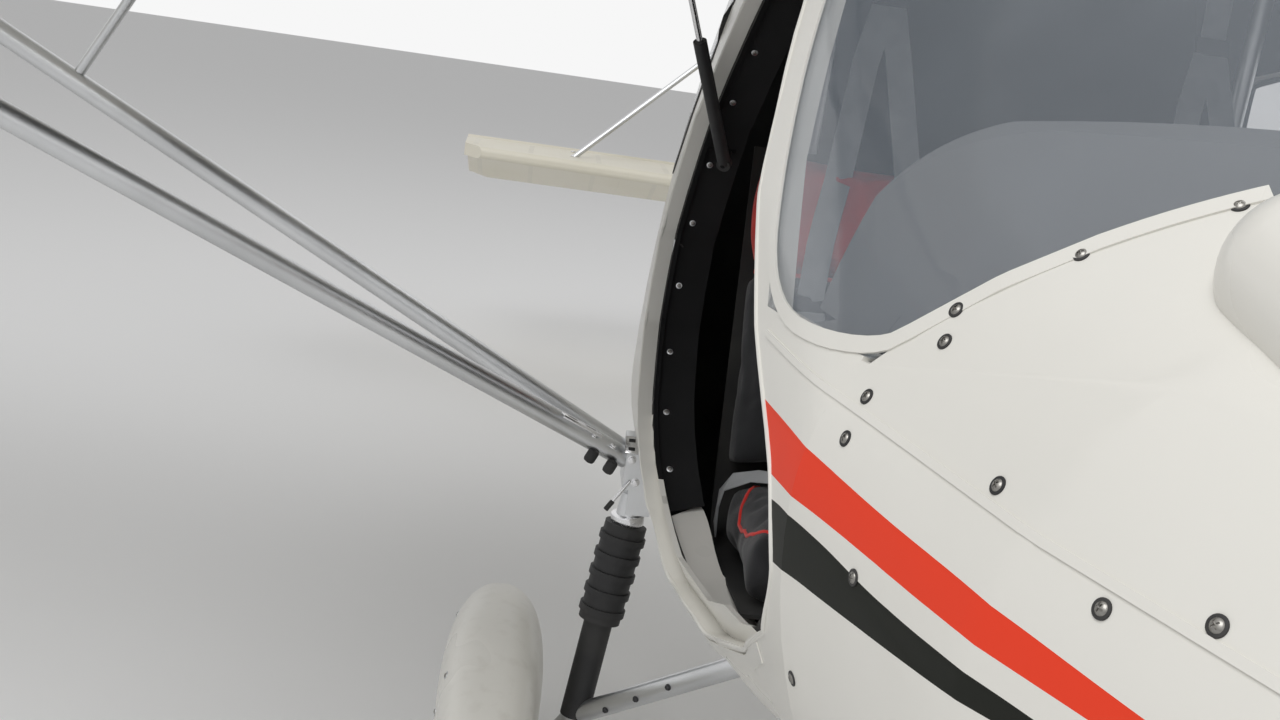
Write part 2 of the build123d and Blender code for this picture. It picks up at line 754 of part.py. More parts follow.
with BuildPart() as nose_leg:
    with BuildSketch(Plane.XY.offset(452)):
        with Locations((0, at(800))):
            Circle(34)
            Circle(23 + FIT, mode=Mode.SUBTRACT)
    extrude(amount=260)
    with Locations((0, at(975), 640)):
        Box(60, 290, 60)
    add(nose_bore.part, mode=Mode.SUBTRACT)
save(nose_leg, "nose_leg")

with BuildPart() as nose_fork:
    with BuildSketch(Plane.XY.offset(390)):
        with Locations((0, at(800))):
            Circle(23)
    extrude(amount=300)
    with Locations((0, at(812), 372)):
        Box(150, 60, 40)
    for side in (-1, 1):
        with Locations((side * 62, at(830), 270)):
            Box(12, 46, 236)
    with Locations((0, at(NOSE_AXLE_S), NOSE_TYRE_R)):
        Cylinder(9, 2 * TOW_X[0], rotation=(0, 90, 0))
    for side in (-1, 1):
        with Locations((side * (TOW_X[0] + TOW_X[1]) / 2, at(NOSE_AXLE_S), NOSE_TYRE_R)):
            Cylinder(TOW_R, TOW_X[1] - TOW_X[0], rotation=(0, 90, 0))
save(nose_fork, "nose_fork")

with BuildPart() as nose_spat:
    add(spat_hull(NOSE_SPAT, 0))
    with BuildSketch(Plane.YZ):
        with Locations((at(NOSE_AXLE_S), NOSE_TYRE_R)):
            Circle(NOSE_TYRE_R + 14)
        with Locations((at(NOSE_AXLE_S), NOSE_TYRE_R - 120)):
            Rectangle(2 * NOSE_TYRE_R + 28, 240)
    extrude(amount=70, both=True, mode=Mode.SUBTRACT)
    add(nose_fork.part, mode=Mode.SUBTRACT)
save(nose_spat, "nose_spat")

with BuildPart() as nose_tyre:
    add(tyre(0, NOSE_AXLE_S, NOSE_TYRE_R, NOSE_TYRE_W, NOSE_RIM_R))
save(nose_tyre, "nose_tyre")

with BuildPart() as nose_rim:
    with BuildSketch(Plane.YZ):
        with Locations((at(NOSE_AXLE_S), NOSE_TYRE_R)):
            Circle(NOSE_RIM_R)
            Circle(9 + FIT, mode=Mode.SUBTRACT)
    extrude(amount=34, both=True)
save(nose_rim, "nose_rim")

# Propeller
spinner_edge = [(at(SPINNER_END_S * (1 - cos(radians(a)))), PROP_Z + SPINNER_R * sin(radians(a)))
                for a in range(0, 91, 15)]
with BuildPart() as spinner:
    with BuildSketch(Plane.YZ) as sk:
        with BuildLine():
            Polyline(*spinner_edge, (at(SPINNER_END_S), PROP_Z), close=True)
        make_face()
    revolve(axis=Axis((0, 0, PROP_Z), (0, 1, 0)))
    add(rod((0, 250, PROP_Z), (0, 368, PROP_Z), 30))
save(spinner, "spinner")

# Blade sections: radius, chord, thickness, pitch in degrees
BLADE = (
    (100, 40, 32, 50), (200, 92, 24, 42), (330, 116, 18, 32), (520, 110, 13, 24),
    (700, 88, 9, 19), (PROP_R, 48, 6, 15),
)
with BuildPart() as blade:
    for r, chord, thick, pitch in BLADE:
        with BuildSketch(Plane(origin=(0, at(BLADE_S), PROP_Z + r), x_dir=(cos(radians(pitch)),
                               sin(radians(pitch)), 0), z_dir=(0, 0, 1))):
            with BuildLine():
                ThreePointArc((-chord / 2, 0), (0, thick * 0.7), (chord / 2, 0))
                ThreePointArc((chord / 2, 0), (0, -thick * 0.3), (-chord / 2, 0))
            make_face()
    loft(ruled=True)

with BuildPart() as propeller_blades:
    for angle in (30, 150, 270):
        add(blade.part.rotate(Axis((0, at(BLADE_S), PROP_Z), (0, 1, 0)), angle))
    add(spinner.part, mode=Mode.SUBTRACT)
save(propeller_blades, "propeller_blades")

# Tail
with BuildPart() as fin:
    with BuildSketch(Plane.YZ.offset(-24)):
        with BuildLine():
            Polyline(*yz(FIN_EDGE), close=True)
        make_face()
    extrude(amount=48)
    for z in RUDDER_TABS:
        with Locations((0, at(5782), z)):
            Box(26, 56, 12)
    add(rod((0, RUDDER_HINGE_S, 1060), (0, RUDDER_HINGE_S, 2336), 5 + FIT), mode=Mode.SUBTRACT)
    add(tail_cone.part, mode=Mode.SUBTRACT)
save(fin, "fin")

with BuildPart() as rudder:
    with BuildSketch(Plane.XY.offset(1080)):
        with BuildLine():
            yh = at(RUDDER_HINGE_S)
            ThreePointArc((-22, yh), (0, yh - 24), (22, yh))
            Polyline((22, yh), (4, at(6200)), (-4, at(6200)), (-22, yh))
        make_face()
    extrude(amount=1260)
    add(prism(RUDDER_EDGE, -40, 40), mode=Mode.INTERSECT)
    for z in RUDDER_TABS:
        with Locations((0, at(RUDDER_HINGE_S - 3), z)):
            Box(90, 72, 26, mode=Mode.SUBTRACT)
        add(rod((0, RUDDER_HINGE_S, z - 20), (0, RUDDER_HINGE_S, z + 20), 5))
save(rudder, "rudder")

with BuildPart() as tailplane:
    with BuildSketch(Plane.XY.offset(TAIL_Z - 24)):
        with BuildLine():
            Polyline((-1190, at(5300)), (-1120, at(5215)), (-60, at(5110)), (60, at(5110)),
                     (1120, at(5215)), (1190, at(5300)), (1200, at(5556)), (-1200, at(5556)),
                     close=True)
        make_face()
    extrude(amount=48)
    fillet(tailplane.edges().group_by(Axis.Y)[0], 20)
    for side in (-1, 1):
        with Locations((side * 54, at(5583), TAIL_Z)):
            Box(8, 80, 50)
    add(tail_cone.part, mode=Mode.SUBTRACT)
    add(rod((-60, TAIL_HINGE_S, TAIL_Z), (60, TAIL_HINGE_S, TAIL_Z), TAIL_TUBE_R + FIT),
        mode=Mode.SUBTRACT)
save(tailplane, "tailplane")

with BuildPart() as elevator_level:
    yh = at(TAIL_HINGE_S)
    with BuildSketch(Plane.YZ.offset(ELEVATOR_ROOT)):
        with BuildLine():
            ThreePointArc((yh, TAIL_Z - 30), (yh - 30, TAIL_Z), (yh, TAIL_Z + 30))
            Polyline((yh, TAIL_Z + 30), (yh + 400, TAIL_Z + 4), (yh + 400, TAIL_Z - 4),
                     (yh, TAIL_Z - 30))
        make_face()
    extrude(amount=1200 - ELEVATOR_ROOT)
    with BuildSketch(Plane.XY.offset(TAIL_Z - 60)):
        with BuildLine():
            Polyline((ELEVATOR_ROOT, yh - 40), (ELEVATOR_ROOT, yh + 30), (270, yh + 400), (1120, yh + 400),
                     (1200, yh + 330), (1200, yh - 40), close=True)
        make_face()
    extrude(amount=120, mode=Mode.INTERSECT)
    mirror(about=Plane.YZ)
    with Locations((0, yh, TAIL_Z)):
        Cylinder(TAIL_TUBE_R, 160, rotation=(0, 90, 0))

with BuildPart() as elevator:
    add(elevator_level.part.rotate(Axis((0, at(TAIL_HINGE_S), TAIL_Z), (1, 0, 0)),
                                   -ELEVATOR_DROOP))
save(elevator, "elevator")

with BuildPart() as tail_braces:
    for side in (-1, 1):
        add(rod((side * 760, 5330, TAIL_Z + 20), (side * 22, 5500, 1640), 11))
    add(fin.part, mode=Mode.SUBTRACT)
    add(tailplane.part, mode=Mode.SUBTRACT)
save(tail_braces, "tail_braces")

# Doors, made shut and the right one then swung open
door_axis_right = Axis((-DOOR_HINGE_X, 0, DOOR_HINGE_Z), (0, 1, 0))
stud_ends = [(STAY_DOOR[0] + reach, STAY_S[0] + STUD_SEAT[0], STAY_DOOR[1] + STUD_SEAT[1])
             for reach in STUD_REACH]

with BuildPart() as door_left:
    add(pod_outer)
    add(door_inner, mode=Mode.SUBTRACT)
    add(door_blank, mode=Mode.INTERSECT)
    add(window_hole, mode=Mode.SUBTRACT)
    for s in DOOR_HINGES:
        with Locations((DOOR_HINGE_X, at(s), DOOR_HINGE_Z)):
            Cylinder(8, 40, rotation=(90, 0, 0))
        with Locations((DOOR_HINGE_X - 9, at(s), DOOR_HINGE_Z - 12)):
            Box(20, 40, 18)
        with Locations((DOOR_HINGE_X, at(s), DOOR_HINGE_Z)):
            Cylinder(4 + FIT, 44, rotation=(90, 0, 0), mode=Mode.SUBTRACT)
    add(rod(*stud_ends, STUD_R))
save(door_left, "door_left")

with BuildPart() as door_glass_left:
    add(hull(POD, 8))
    add(hull(POD, 12, (20.0, -20.0)), mode=Mode.SUBTRACT)
    add(window_pane, mode=Mode.INTERSECT)
    add(rod(*stud_ends, STUD_R + FIT), mode=Mode.SUBTRACT)
save(door_glass_left, "door_glass_left")

with BuildPart() as door_right:
    add(mirror(door_left.part, about=Plane.YZ, mode=Mode.PRIVATE).rotate(door_axis_right, DOOR_OPEN))
save(door_right, "door_right")

with BuildPart() as door_glass_right:
    add(mirror(door_glass_left.part, about=Plane.YZ, mode=Mode.PRIVATE)
        .rotate(door_axis_right, DOOR_OPEN))
save(door_glass_right, "door_glass_right")


# Gas struts
def stay_tube(foot, top, axis):
    """Cylinder with its eye, from the foot towards the upper end."""
    along = (top - foot).normalized()
    with BuildPart() as body:
        add(pin(foot, along, 0, STAY_TUBE, STAY_TUBE_R))
        add(pin(foot, axis, 7, 7, 12))
        add(pin(foot, axis, 20, 20, STAY_PIN_R + FIT), mode=Mode.SUBTRACT)
        add(pin(foot, along, -30, 400, STAY_ROD_R + FIT), mode=Mode.SUBTRACT)
    return body.part


def stay_rod(foot, top):
    """Rod with its ball, from the upper end back into the cylinder."""
    along = (top - foot).normalized()
    with BuildPart() as body:
        add(pin(top, along, STAY_ROD, 0, STAY_ROD_R))
        with Locations(top):
            Sphere(STAY_BALL_R)
    return body.part


def across(v):
    """The same place or direction on the right side."""
    return Vector(-v.X, v.Y, v.Z)


with BuildPart() as stay_tube_left:
    add(stay_tube(stay_foot, stay_shut, stay_axis))
save(stay_tube_left, "stay_tube_left")

with BuildPart() as stay_rod_left:
    add(stay_rod(stay_foot, stay_shut))
save(stay_rod_left, "stay_rod_left")

with BuildPart() as stay_tube_right:
    add(stay_tube(across(stay_foot), across(stay_wide), across(stay_axis)))
save(stay_tube_right, "stay_tube_right")

with BuildPart() as stay_rod_right:
    add(stay_rod(across(stay_foot), across(stay_wide)))
save(stay_rod_right, "stay_rod_right")
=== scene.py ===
"""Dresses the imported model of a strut-braced two-seat ultralight aeroplane.

Metres, with +X to the aeroplane's left, +Y aft and +Z up. Stations are distances behind the
tip of the spinner, which stands at Y = -3.1.
"""
from __future__ import annotations

import json
import logging
import math
from collections.abc import Callable, Iterable, Sequence
from dataclasses import dataclass
from enum import Enum

import bpy
from mathutils import Matrix, Vector
from mathutils.bvhtree import BVHTree

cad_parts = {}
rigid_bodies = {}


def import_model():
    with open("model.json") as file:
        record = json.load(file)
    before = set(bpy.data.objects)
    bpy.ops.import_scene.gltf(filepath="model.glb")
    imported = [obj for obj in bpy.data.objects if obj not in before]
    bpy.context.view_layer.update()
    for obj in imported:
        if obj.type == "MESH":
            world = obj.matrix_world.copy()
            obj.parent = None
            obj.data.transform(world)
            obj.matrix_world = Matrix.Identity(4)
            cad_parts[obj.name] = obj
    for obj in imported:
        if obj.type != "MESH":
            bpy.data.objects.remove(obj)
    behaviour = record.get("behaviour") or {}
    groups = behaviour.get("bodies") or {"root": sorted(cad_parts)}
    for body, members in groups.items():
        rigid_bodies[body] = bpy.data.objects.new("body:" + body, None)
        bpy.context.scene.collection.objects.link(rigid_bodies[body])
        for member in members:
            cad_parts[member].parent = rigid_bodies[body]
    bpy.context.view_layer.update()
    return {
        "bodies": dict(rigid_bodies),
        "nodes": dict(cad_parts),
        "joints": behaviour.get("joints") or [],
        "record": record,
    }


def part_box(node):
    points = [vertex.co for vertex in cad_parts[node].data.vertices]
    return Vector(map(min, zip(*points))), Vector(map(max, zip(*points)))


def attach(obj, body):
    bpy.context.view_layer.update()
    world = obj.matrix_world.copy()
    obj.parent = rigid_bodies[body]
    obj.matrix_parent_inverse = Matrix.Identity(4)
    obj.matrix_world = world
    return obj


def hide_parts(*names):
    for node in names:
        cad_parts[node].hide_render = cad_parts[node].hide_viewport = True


LOG = logging.getLogger("ultralight")
# Y of the spinner's tip, and the height of the pod's middle, from which its skin is sought.
NOSE_Y = -3.1
AXIS_Z = 1.10
DOOR_SWING = math.radians(68.0)
DOOR_HINGE = (0.52, 1.836)
TUBE_ROUNDNESS = 3
MAIN_WHEEL = (0.830, 2.290, 0.170)
NOSE_WHEEL = (0.0, 0.850, 0.150)

Point = tuple[float, float, float]
Colour = tuple[float, float, float]
Hit = tuple[Vector, Vector]
Outline = Sequence[tuple[float, float]]
Piece = bpy.types.Object
Socket = bpy.types.NodeSocket


def station(s: float) -> float:
    """Y of a station behind the spinner's tip."""
    return NOSE_Y + s


def spot(x: float, s: float, z: float) -> Vector:
    """Place given by its offset from the centre line, its station and its height."""
    return Vector((x, station(s), z))


def smoothed(points: Sequence[Vector], rounds: int, closed: bool) -> list[Vector]:
    """Cut a line's corners a few times over.

    Args:
        points: Corners of the line.
        rounds: How many times each corner is cut.
        closed: Whether the line runs back to its start.

    Returns:
        The rounded line.
    """
    line = [Vector(p) for p in points]
    for _ in range(rounds):
        ends = zip(line, line[1:] + line[:1]) if closed else zip(line, line[1:])
        cut = [p for a, b in ends for p in (a.lerp(b, 0.25), a.lerp(b, 0.75))]
        line = cut if closed else [line[0], *cut, line[-1]]
    return line


def standing(place: Vector, normal: Vector, roll: float = 0.0) -> Matrix:
    """Matrix that stands a piece made on +Z on a surface."""
    turn = normal.to_track_quat("Z", "Y").to_matrix().to_4x4()
    return Matrix.Translation(place) @ turn @ Matrix.Rotation(roll, 4, "Z")


def swung(angle: float) -> Matrix:
    """Matrix that turns the right door about its hinge line."""
    hinge = Vector((-DOOR_HINGE[0], 0.0, DOOR_HINGE[1]))
    return Matrix.Translation(hinge) @ Matrix.Rotation(angle, 4, "Y") @ Matrix.Translation(-hinge)


class Side(Enum):
    """Side of the aeroplane, as the sign of X."""

    LEFT = 1.0
    RIGHT = -1.0

    @property
    def word(self) -> str:
        """Lower-case name used in node names."""
        return self.name.lower()


class Sheet:
    """A material's node tree with short calls for the nodes that the finishes use."""

    def __init__(self, name: str) -> None:
        """Start a material with its shader and object coordinates.

        Args:
            name: Name of the material.
        """
        self.material = bpy.data.materials.new(name)
        self.material.use_nodes = True
        self.tree = self.material.node_tree
        self.shader = self.tree.nodes["Principled BSDF"]
        self.coords = self.node("TexCoord").outputs["Object"]

    def node(self, kind: str, **settings: object) -> bpy.types.Node:
        """Add a node.

        Args:
            kind: Class name of the node without its ShaderNode prefix.
            **settings: Attributes to set on it.

        Returns:
            The new node.
        """
        new = self.tree.nodes.new("ShaderNode" + kind)
        for key, value in settings.items():
            setattr(new, key, value)
        return new

    def link(self, a: Socket, b: Socket) -> None:
        """Join an output to an input."""
        self.tree.links.new(a, b)

    def axes(self, place: Socket | None = None) -> tuple[Socket, ...]:
        """Split a place, or else the object coordinates, into X, Y and Z."""
        split = self.node("SeparateXYZ")
        self.link(self.coords if place is None else place, split.inputs[0])
        return tuple(split.outputs)

    def noise(self, scale: float, detail: float = 4.0, stretch: Point = (1.0, 1.0, 1.0)) -> Socket:
        """Noise on object coordinates.

        Args:
            scale: Noise scale.
            detail: Octaves.
            stretch: Scale of the coordinates along each axis.

        Returns:
            The factor socket.
        """
        mapping = self.node("Mapping")
        mapping.inputs["Scale"].default_value = stretch
        self.link(self.coords, mapping.inputs["Vector"])
        noise = self.node("TexNoise")
        noise.inputs["Scale"].default_value = scale
        noise.inputs["Detail"].default_value = detail
        self.link(mapping.outputs["Vector"], noise.inputs["Vector"])
        return noise.outputs["Fac"]

    def math(self, operation: str, a: object, b: object = 0.0, c: object = 0.0) -> Socket:
        """Arithmetic on sockets or numbers.

        Args:
            operation: Operation of the Math node.
            a: First value.
            b: Second value.
            c: Third value.

        Returns:
            The result's socket.
        """
        node = self.node("Math", operation=operation)
        for index, value in enumerate((a, b, c)):
            if isinstance(value, Socket):
                self.link(value, node.inputs[index])
            else:
                node.inputs[index].default_value = float(value)
        return node.outputs[0]

    def ramp(self, value: Socket, low: float, high: float, out_low: float,
             out_high: float) -> Socket:
        """Map a value from one range to another, held at both ends."""
        node = self.node("MapRange")
        self.link(value, node.inputs["Value"])
        for key, number in (("From Min", low), ("From Max", high), ("To Min", out_low),
                            ("To Max", out_high)):
            node.inputs[key].default_value = number
        return node.outputs["Result"]

    def mix(self, factor: object, a: object, b: object) -> Socket:
        """Mix two colours.

        Args:
            factor: Socket or number, 0 for the first colour.
            a: First colour or socket.
            b: Second colour or socket.

        Returns:
            The colour socket.
        """
        node = self.node("Mix", data_type="RGBA")
        for key, value in ((0, factor), (6, a), (7, b)):
            if isinstance(value, Socket):
                self.link(value, node.inputs[key])
            elif key == 0:
                node.inputs[key].default_value = float(value)
            else:
                node.inputs[key].default_value = (*value, 1.0)
        return node.outputs[2]

    def bump(self, height: Socket, distance: float, strength: float = 1.0) -> None:
        """Raise the surface by a height, added to any bump that is already there."""
        node = self.node("Bump")
        node.inputs["Distance"].default_value = distance
        node.inputs["Strength"].default_value = strength
        self.link(height, node.inputs["Height"])
        old = self.shader.inputs["Normal"].links
        if old:
            self.link(old[0].from_socket, node.inputs["Normal"])
        self.link(node.outputs["Normal"], self.shader.inputs["Normal"])

    def put(self, **values: object) -> None:
        """Set shader inputs, with underscores for the spaces in their names."""
        for key, value in values.items():
            socket = self.shader.inputs[key.replace("_", " ")]
            if isinstance(value, Socket):
                self.link(value, socket)
            elif isinstance(value, tuple) and len(value) == 3 and socket.type == "RGBA":
                socket.default_value = (*value, 1.0)
            else:
                socket.default_value = value


@dataclass(frozen=True)
class Stripe:
    """One colour band on the pod's sides between two edges over the station."""

    colour: Colour
    first: float
    upper: Outline
    lower: Outline


RED_BAND = Stripe(
    (0.82, 0.052, 0.018),
    first=0.46,
    upper=((0.46, 1.168), (0.73, 1.168), (0.87, 1.1705), (1.01, 1.169), (1.19, 1.171),
           (1.32, 1.167), (1.60, 1.160), (1.90, 1.143), (2.15, 1.120), (2.33, 1.098)),
    lower=((0.46, 1.167), (0.76, 1.148), (0.93, 1.138), (1.06, 1.132), (1.12, 1.128),
           (1.27, 1.114), (1.60, 1.085), (1.90, 1.078), (2.15, 1.085), (2.33, 1.097)),
)
BLACK_BAND = Stripe(
    (0.006, 0.007, 0.004),
    first=0.70,
    upper=((0.46, 1.140), (0.70, 1.131), (0.80, 1.126), (0.98, 1.113), (1.09, 1.112),
           (1.17, 1.106), (1.26, 1.090), (1.60, 1.055), (1.90, 1.040), (2.15, 1.044),
           (2.33, 1.058)),
    lower=((0.46, 1.139), (0.70, 1.130), (0.83, 1.106), (1.07, 1.069), (1.13, 1.060),
           (1.25, 1.035), (1.60, 0.980), (1.90, 0.985), (2.15, 1.018), (2.33, 1.057)),
)
BAND_END = 2.33


@dataclass(frozen=True)
class PearlPaint:
    """Warm white gloss paint on moulded composite, with or without the two bands."""

    colour: Colour = (0.80, 0.785, 0.735)
    grime: Colour = (0.36, 0.32, 0.25)
    trim: Colour = (0.004, 0.004, 0.0045)
    film: float = 0.62
    banded: bool = False
    swung: bool = False
    black_above: float = 0.0

    def shut(self, sheet: Sheet) -> Socket:
        """Object coordinates, turned back to the shut door on a door that stands open."""
        if not self.swung:
            return sheet.coords
        turn = sheet.node("VectorRotate", rotation_type="AXIS_ANGLE")
        turn.inputs["Center"].default_value = (-DOOR_HINGE[0], 0.0, DOOR_HINGE[1])
        turn.inputs["Axis"].default_value = (0.0, 1.0, 0.0)
        turn.inputs["Angle"].default_value = -DOOR_SWING
        sheet.link(sheet.coords, turn.inputs["Vector"])
        return turn.outputs["Vector"]

    def height_at(self, sheet: Sheet, along: Socket, edge: Outline) -> Socket:
        """Height of a band's edge over the station.

        Args:
            sheet: Sheet to add to.
            along: Station from 0 at the bands' point to 1 at their end.
            edge: Stations and heights.

        Returns:
            Socket with the height in metres.
        """
        node = sheet.node("FloatCurve")
        curve = node.mapping.curves[0]
        start = edge[0][0]
        spread = edge[-1][0] - start
        points = [((s - start) / spread, z - 0.5) for s, z in edge]
        curve.points[0].location = points[0]
        curve.points[1].location = points[-1]
        for x, z in points[1:-1]:
            curve.points.new(x, z)
        node.mapping.update()
        sheet.link(along, node.inputs["Value"])
        return sheet.math("ADD", node.outputs["Value"], 0.5)

    def bands(self, sheet: Sheet, colour: Socket, matt: Socket) -> tuple[Socket, Socket]:
        """Lay the red and the black band over a colour.

        Args:
            sheet: Sheet to add to.
            colour: Colour under the bands.
            matt: Roughness under the bands.

        Returns:
            The colour and the roughness with the bands, whose film is less glossy.
        """
        _, y, z = sheet.axes(self.shut(sheet))
        along = sheet.ramp(y, station(RED_BAND.first), station(BAND_END), 0.0, 1.0)
        for band in (RED_BAND, BLACK_BAND):
            top = self.height_at(sheet, along, band.upper)
            low = self.height_at(sheet, along, band.lower)
            under = sheet.math("LESS_THAN", z, top)
            over = sheet.math("GREATER_THAN", z, low)
            ahead = sheet.math("GREATER_THAN", y, station(band.first))
            behind = sheet.math("LESS_THAN", y, station(BAND_END))
            mask = sheet.math("MULTIPLY", sheet.math("MULTIPLY", under, over),
                              sheet.math("MULTIPLY", ahead, behind))
            colour = sheet.mix(mask, colour, band.colour)
            matt = sheet.math("MAXIMUM", matt, sheet.math("MULTIPLY", mask, self.film))
        return colour, matt

    def material(self, name: str) -> bpy.types.Material:
        """The finished material, with grime low down and a fine orange peel."""
        sheet = Sheet(name)
        cloud = sheet.noise(2.2, 3.0)
        dusty = tuple(c * 0.955 for c in self.colour)
        colour = sheet.mix(sheet.ramp(cloud, 0.35, 0.7, 0.0, 1.0), self.colour, dusty)
        matt = sheet.ramp(cloud, 0.3, 0.7, 0.24, 0.34)
        if self.banded:
            colour, matt = self.bands(sheet, colour, matt)
        height = sheet.axes()[2]
        low = sheet.ramp(height, 0.75, 0.15, 0.0, 0.20)
        speck = sheet.ramp(sheet.noise(38.0, 6.0), 0.52, 0.75, 0.0, 1.0)
        colour = sheet.mix(sheet.math("MULTIPLY", low, speck), colour, self.grime)
        if self.black_above:
            high = sheet.math("GREATER_THAN", height, self.black_above)
            colour = sheet.mix(high, colour, self.trim)
            matt = sheet.math("MAXIMUM", matt, sheet.math("MULTIPLY", high, 0.8))
        sheet.bump(sheet.noise(160.0, 2.0), 0.0003, 0.2)
        sheet.put(Base_Color=colour, Roughness=matt, Coat_Weight=0.07, Coat_Roughness=0.10,
                  Specular_IOR_Level=0.22)
        return sheet.material


@dataclass(frozen=True)
class DopedFabric:
    """Shrunk polyester covering over ribs, which show as ridges across the chord."""

    colour: Colour = (0.80, 0.79, 0.75)
    rib_pitch: float = 0.30
    sag: float = 0.006

    def material(self, name: str) -> bpy.types.Material:
        """The finished material, with the sag between the ribs and a fine weave."""
        sheet = Sheet(name)
        phase = sheet.math("PINGPONG", sheet.axes()[0], self.rib_pitch / 2)
        between = sheet.ramp(phase, 0.0, self.rib_pitch / 2, 0.0, 1.0)
        rounded = sheet.math("POWER", between, 0.55)
        sheet.bump(sheet.math("SUBTRACT", 1.0, rounded), self.sag, 0.6)
        aged = tuple(c * f for c, f in zip(self.colour, (0.94, 0.93, 0.88)))
        cloud = sheet.noise(3.0, 4.0)
        colour = sheet.mix(sheet.ramp(cloud, 0.4, 0.75, 0.0, 0.8), self.colour, aged)
        weave = sheet.node("TexWave", wave_type="BANDS", bands_direction="DIAGONAL")
        weave.inputs["Scale"].default_value = 420.0
        sheet.link(sheet.coords, weave.inputs["Vector"])
        sheet.bump(weave.outputs["Fac"], 0.0001, 0.3)
        sheet.put(Base_Color=colour, Roughness=0.48, Sheen_Weight=0.08)
        return sheet.material


@dataclass(frozen=True)
class Metal:
    """Bare, brushed or blackened metal."""

    colour: Colour
    roughness: float
    grain: Point = (40.0, 40.0, 40.0)
    scratch: float = 0.10

    def material(self, name: str) -> bpy.types.Material:
        """The finished material, with fine brushing and dull patches."""
        sheet = Sheet(name)
        brush = sheet.noise(9.0, 6.0, self.grain)
        cloud = sheet.noise(5.0, 4.0)
        dull = tuple(c * 0.78 for c in self.colour)
        colour = sheet.mix(sheet.ramp(cloud, 0.35, 0.7, 0.0, 0.7), self.colour, dull)
        sheet.bump(brush, 0.0002, 0.25)
        rough = sheet.ramp(brush, 0.3, 0.7, self.roughness - self.scratch / 2,
                           self.roughness + self.scratch)
        sheet.put(Base_Color=colour, Metallic=1.0, Roughness=rough)
        return sheet.material


@dataclass(frozen=True)
class Moulded:
    """Moulded plastic or rubber with a fine grain and a little dust."""

    colour: Colour
    roughness: float
    grain: float = 300.0
    depth: float = 0.0003
    dust: Colour = (0.30, 0.28, 0.25)
    dusting: float = 0.12

    def material(self, name: str) -> bpy.types.Material:
        """The finished material."""
        sheet = Sheet(name)
        cloud = sheet.noise(7.0, 5.0)
        fine = sheet.noise(self.grain, 3.0)
        dusted = sheet.ramp(cloud, 0.45, 0.8, 0.0, self.dusting)
        colour = sheet.mix(dusted, self.colour, self.dust)
        sheet.bump(fine, self.depth, 0.5)
        top = min(1.0, self.roughness + 0.12)
        sheet.put(Base_Color=colour, Roughness=sheet.ramp(cloud, 0.3, 0.7, self.roughness, top))
        return sheet.material


@dataclass(frozen=True)
class WovenCloth:
    """Upholstery or lining cloth with a fine weave and a nap that catches light."""

    colour: Colour
    roughness: float = 0.85
    pitch: float = 0.0022
    sheen: float = 0.25

    def material(self, name: str) -> bpy.types.Material:
        """The finished material."""
        sheet = Sheet(name)
        size = 2 * math.pi / self.pitch
        x, y, z = sheet.axes()
        warp = sheet.math("SINE", sheet.math("MULTIPLY", x, size))
        weft = sheet.math("SINE", sheet.math("MULTIPLY", sheet.math("ADD", y, z), size))
        cloud = sheet.noise(14.0, 5.0)
        pale = tuple(min(1.0, c * 1.5 + 0.002) for c in self.colour)
        colour = sheet.mix(sheet.ramp(cloud, 0.35, 0.7, 0.0, 0.8), self.colour, pale)
        sheet.bump(sheet.math("MULTIPLY", warp, weft), 0.0004, 0.6)
        sheet.put(Base_Color=colour, Roughness=self.roughness, Sheen_Weight=self.sheen,
                  Sheen_Roughness=0.5)
        return sheet.material


@dataclass(frozen=True)
class Glazing:
    """Thin clear polycarbonate with a faint grey tint that thickens at a glance."""

    colour: Colour = (0.34, 0.38, 0.43)
    straight: float = 0.07
    glancing: float = 0.50

    def material(self, name: str) -> bpy.types.Material:
        """The finished material, with faint polishing haze."""
        sheet = Sheet(name)
        haze = sheet.noise(6.0, 3.0)
        facing = sheet.node("LayerWeight")
        facing.inputs["Blend"].default_value = 0.35
        clear = sheet.ramp(facing.outputs["Facing"], 0.0, 1.0, self.straight, self.glancing)
        veil = sheet.ramp(haze, 0.3, 0.75, 0.0, 0.04)
        sheet.put(Base_Color=self.colour, Roughness=sheet.ramp(haze, 0.3, 0.7, 0.03, 0.09),
                  Alpha=sheet.math("ADD", clear, veil), Specular_IOR_Level=0.8)
        return sheet.material


@dataclass(frozen=True)
class TippedBlade:
    """Black laminate blade with pale tips."""

    colour: Colour = (0.030, 0.031, 0.033)
    tip: Colour = (0.78, 0.76, 0.70)
    rubbed: Colour = (0.12, 0.12, 0.12)
    hub_z: float = 1.15
    tip_from: float = 0.775

    def material(self, name: str) -> bpy.types.Material:
        """The finished material."""
        sheet = Sheet(name)
        x, _, z = sheet.axes()
        across = sheet.math("POWER", x, 2.0)
        rise = sheet.math("SUBTRACT", z, self.hub_z)
        reach = sheet.math("SQRT", sheet.math("ADD", across, sheet.math("MULTIPLY", rise, rise)))
        end = sheet.math("GREATER_THAN", reach, self.tip_from)
        worn = sheet.noise(30.0, 5.0)
        dark = sheet.mix(sheet.ramp(worn, 0.5, 0.8, 0.0, 0.25), self.colour, self.rubbed)
        sheet.bump(sheet.noise(60.0, 3.0), 0.0001, 0.4)
        sheet.put(Base_Color=sheet.mix(end, dark, self.tip),
                  Roughness=sheet.ramp(worn, 0.3, 0.7, 0.26, 0.40), Coat_Weight=0.3)
        return sheet.material


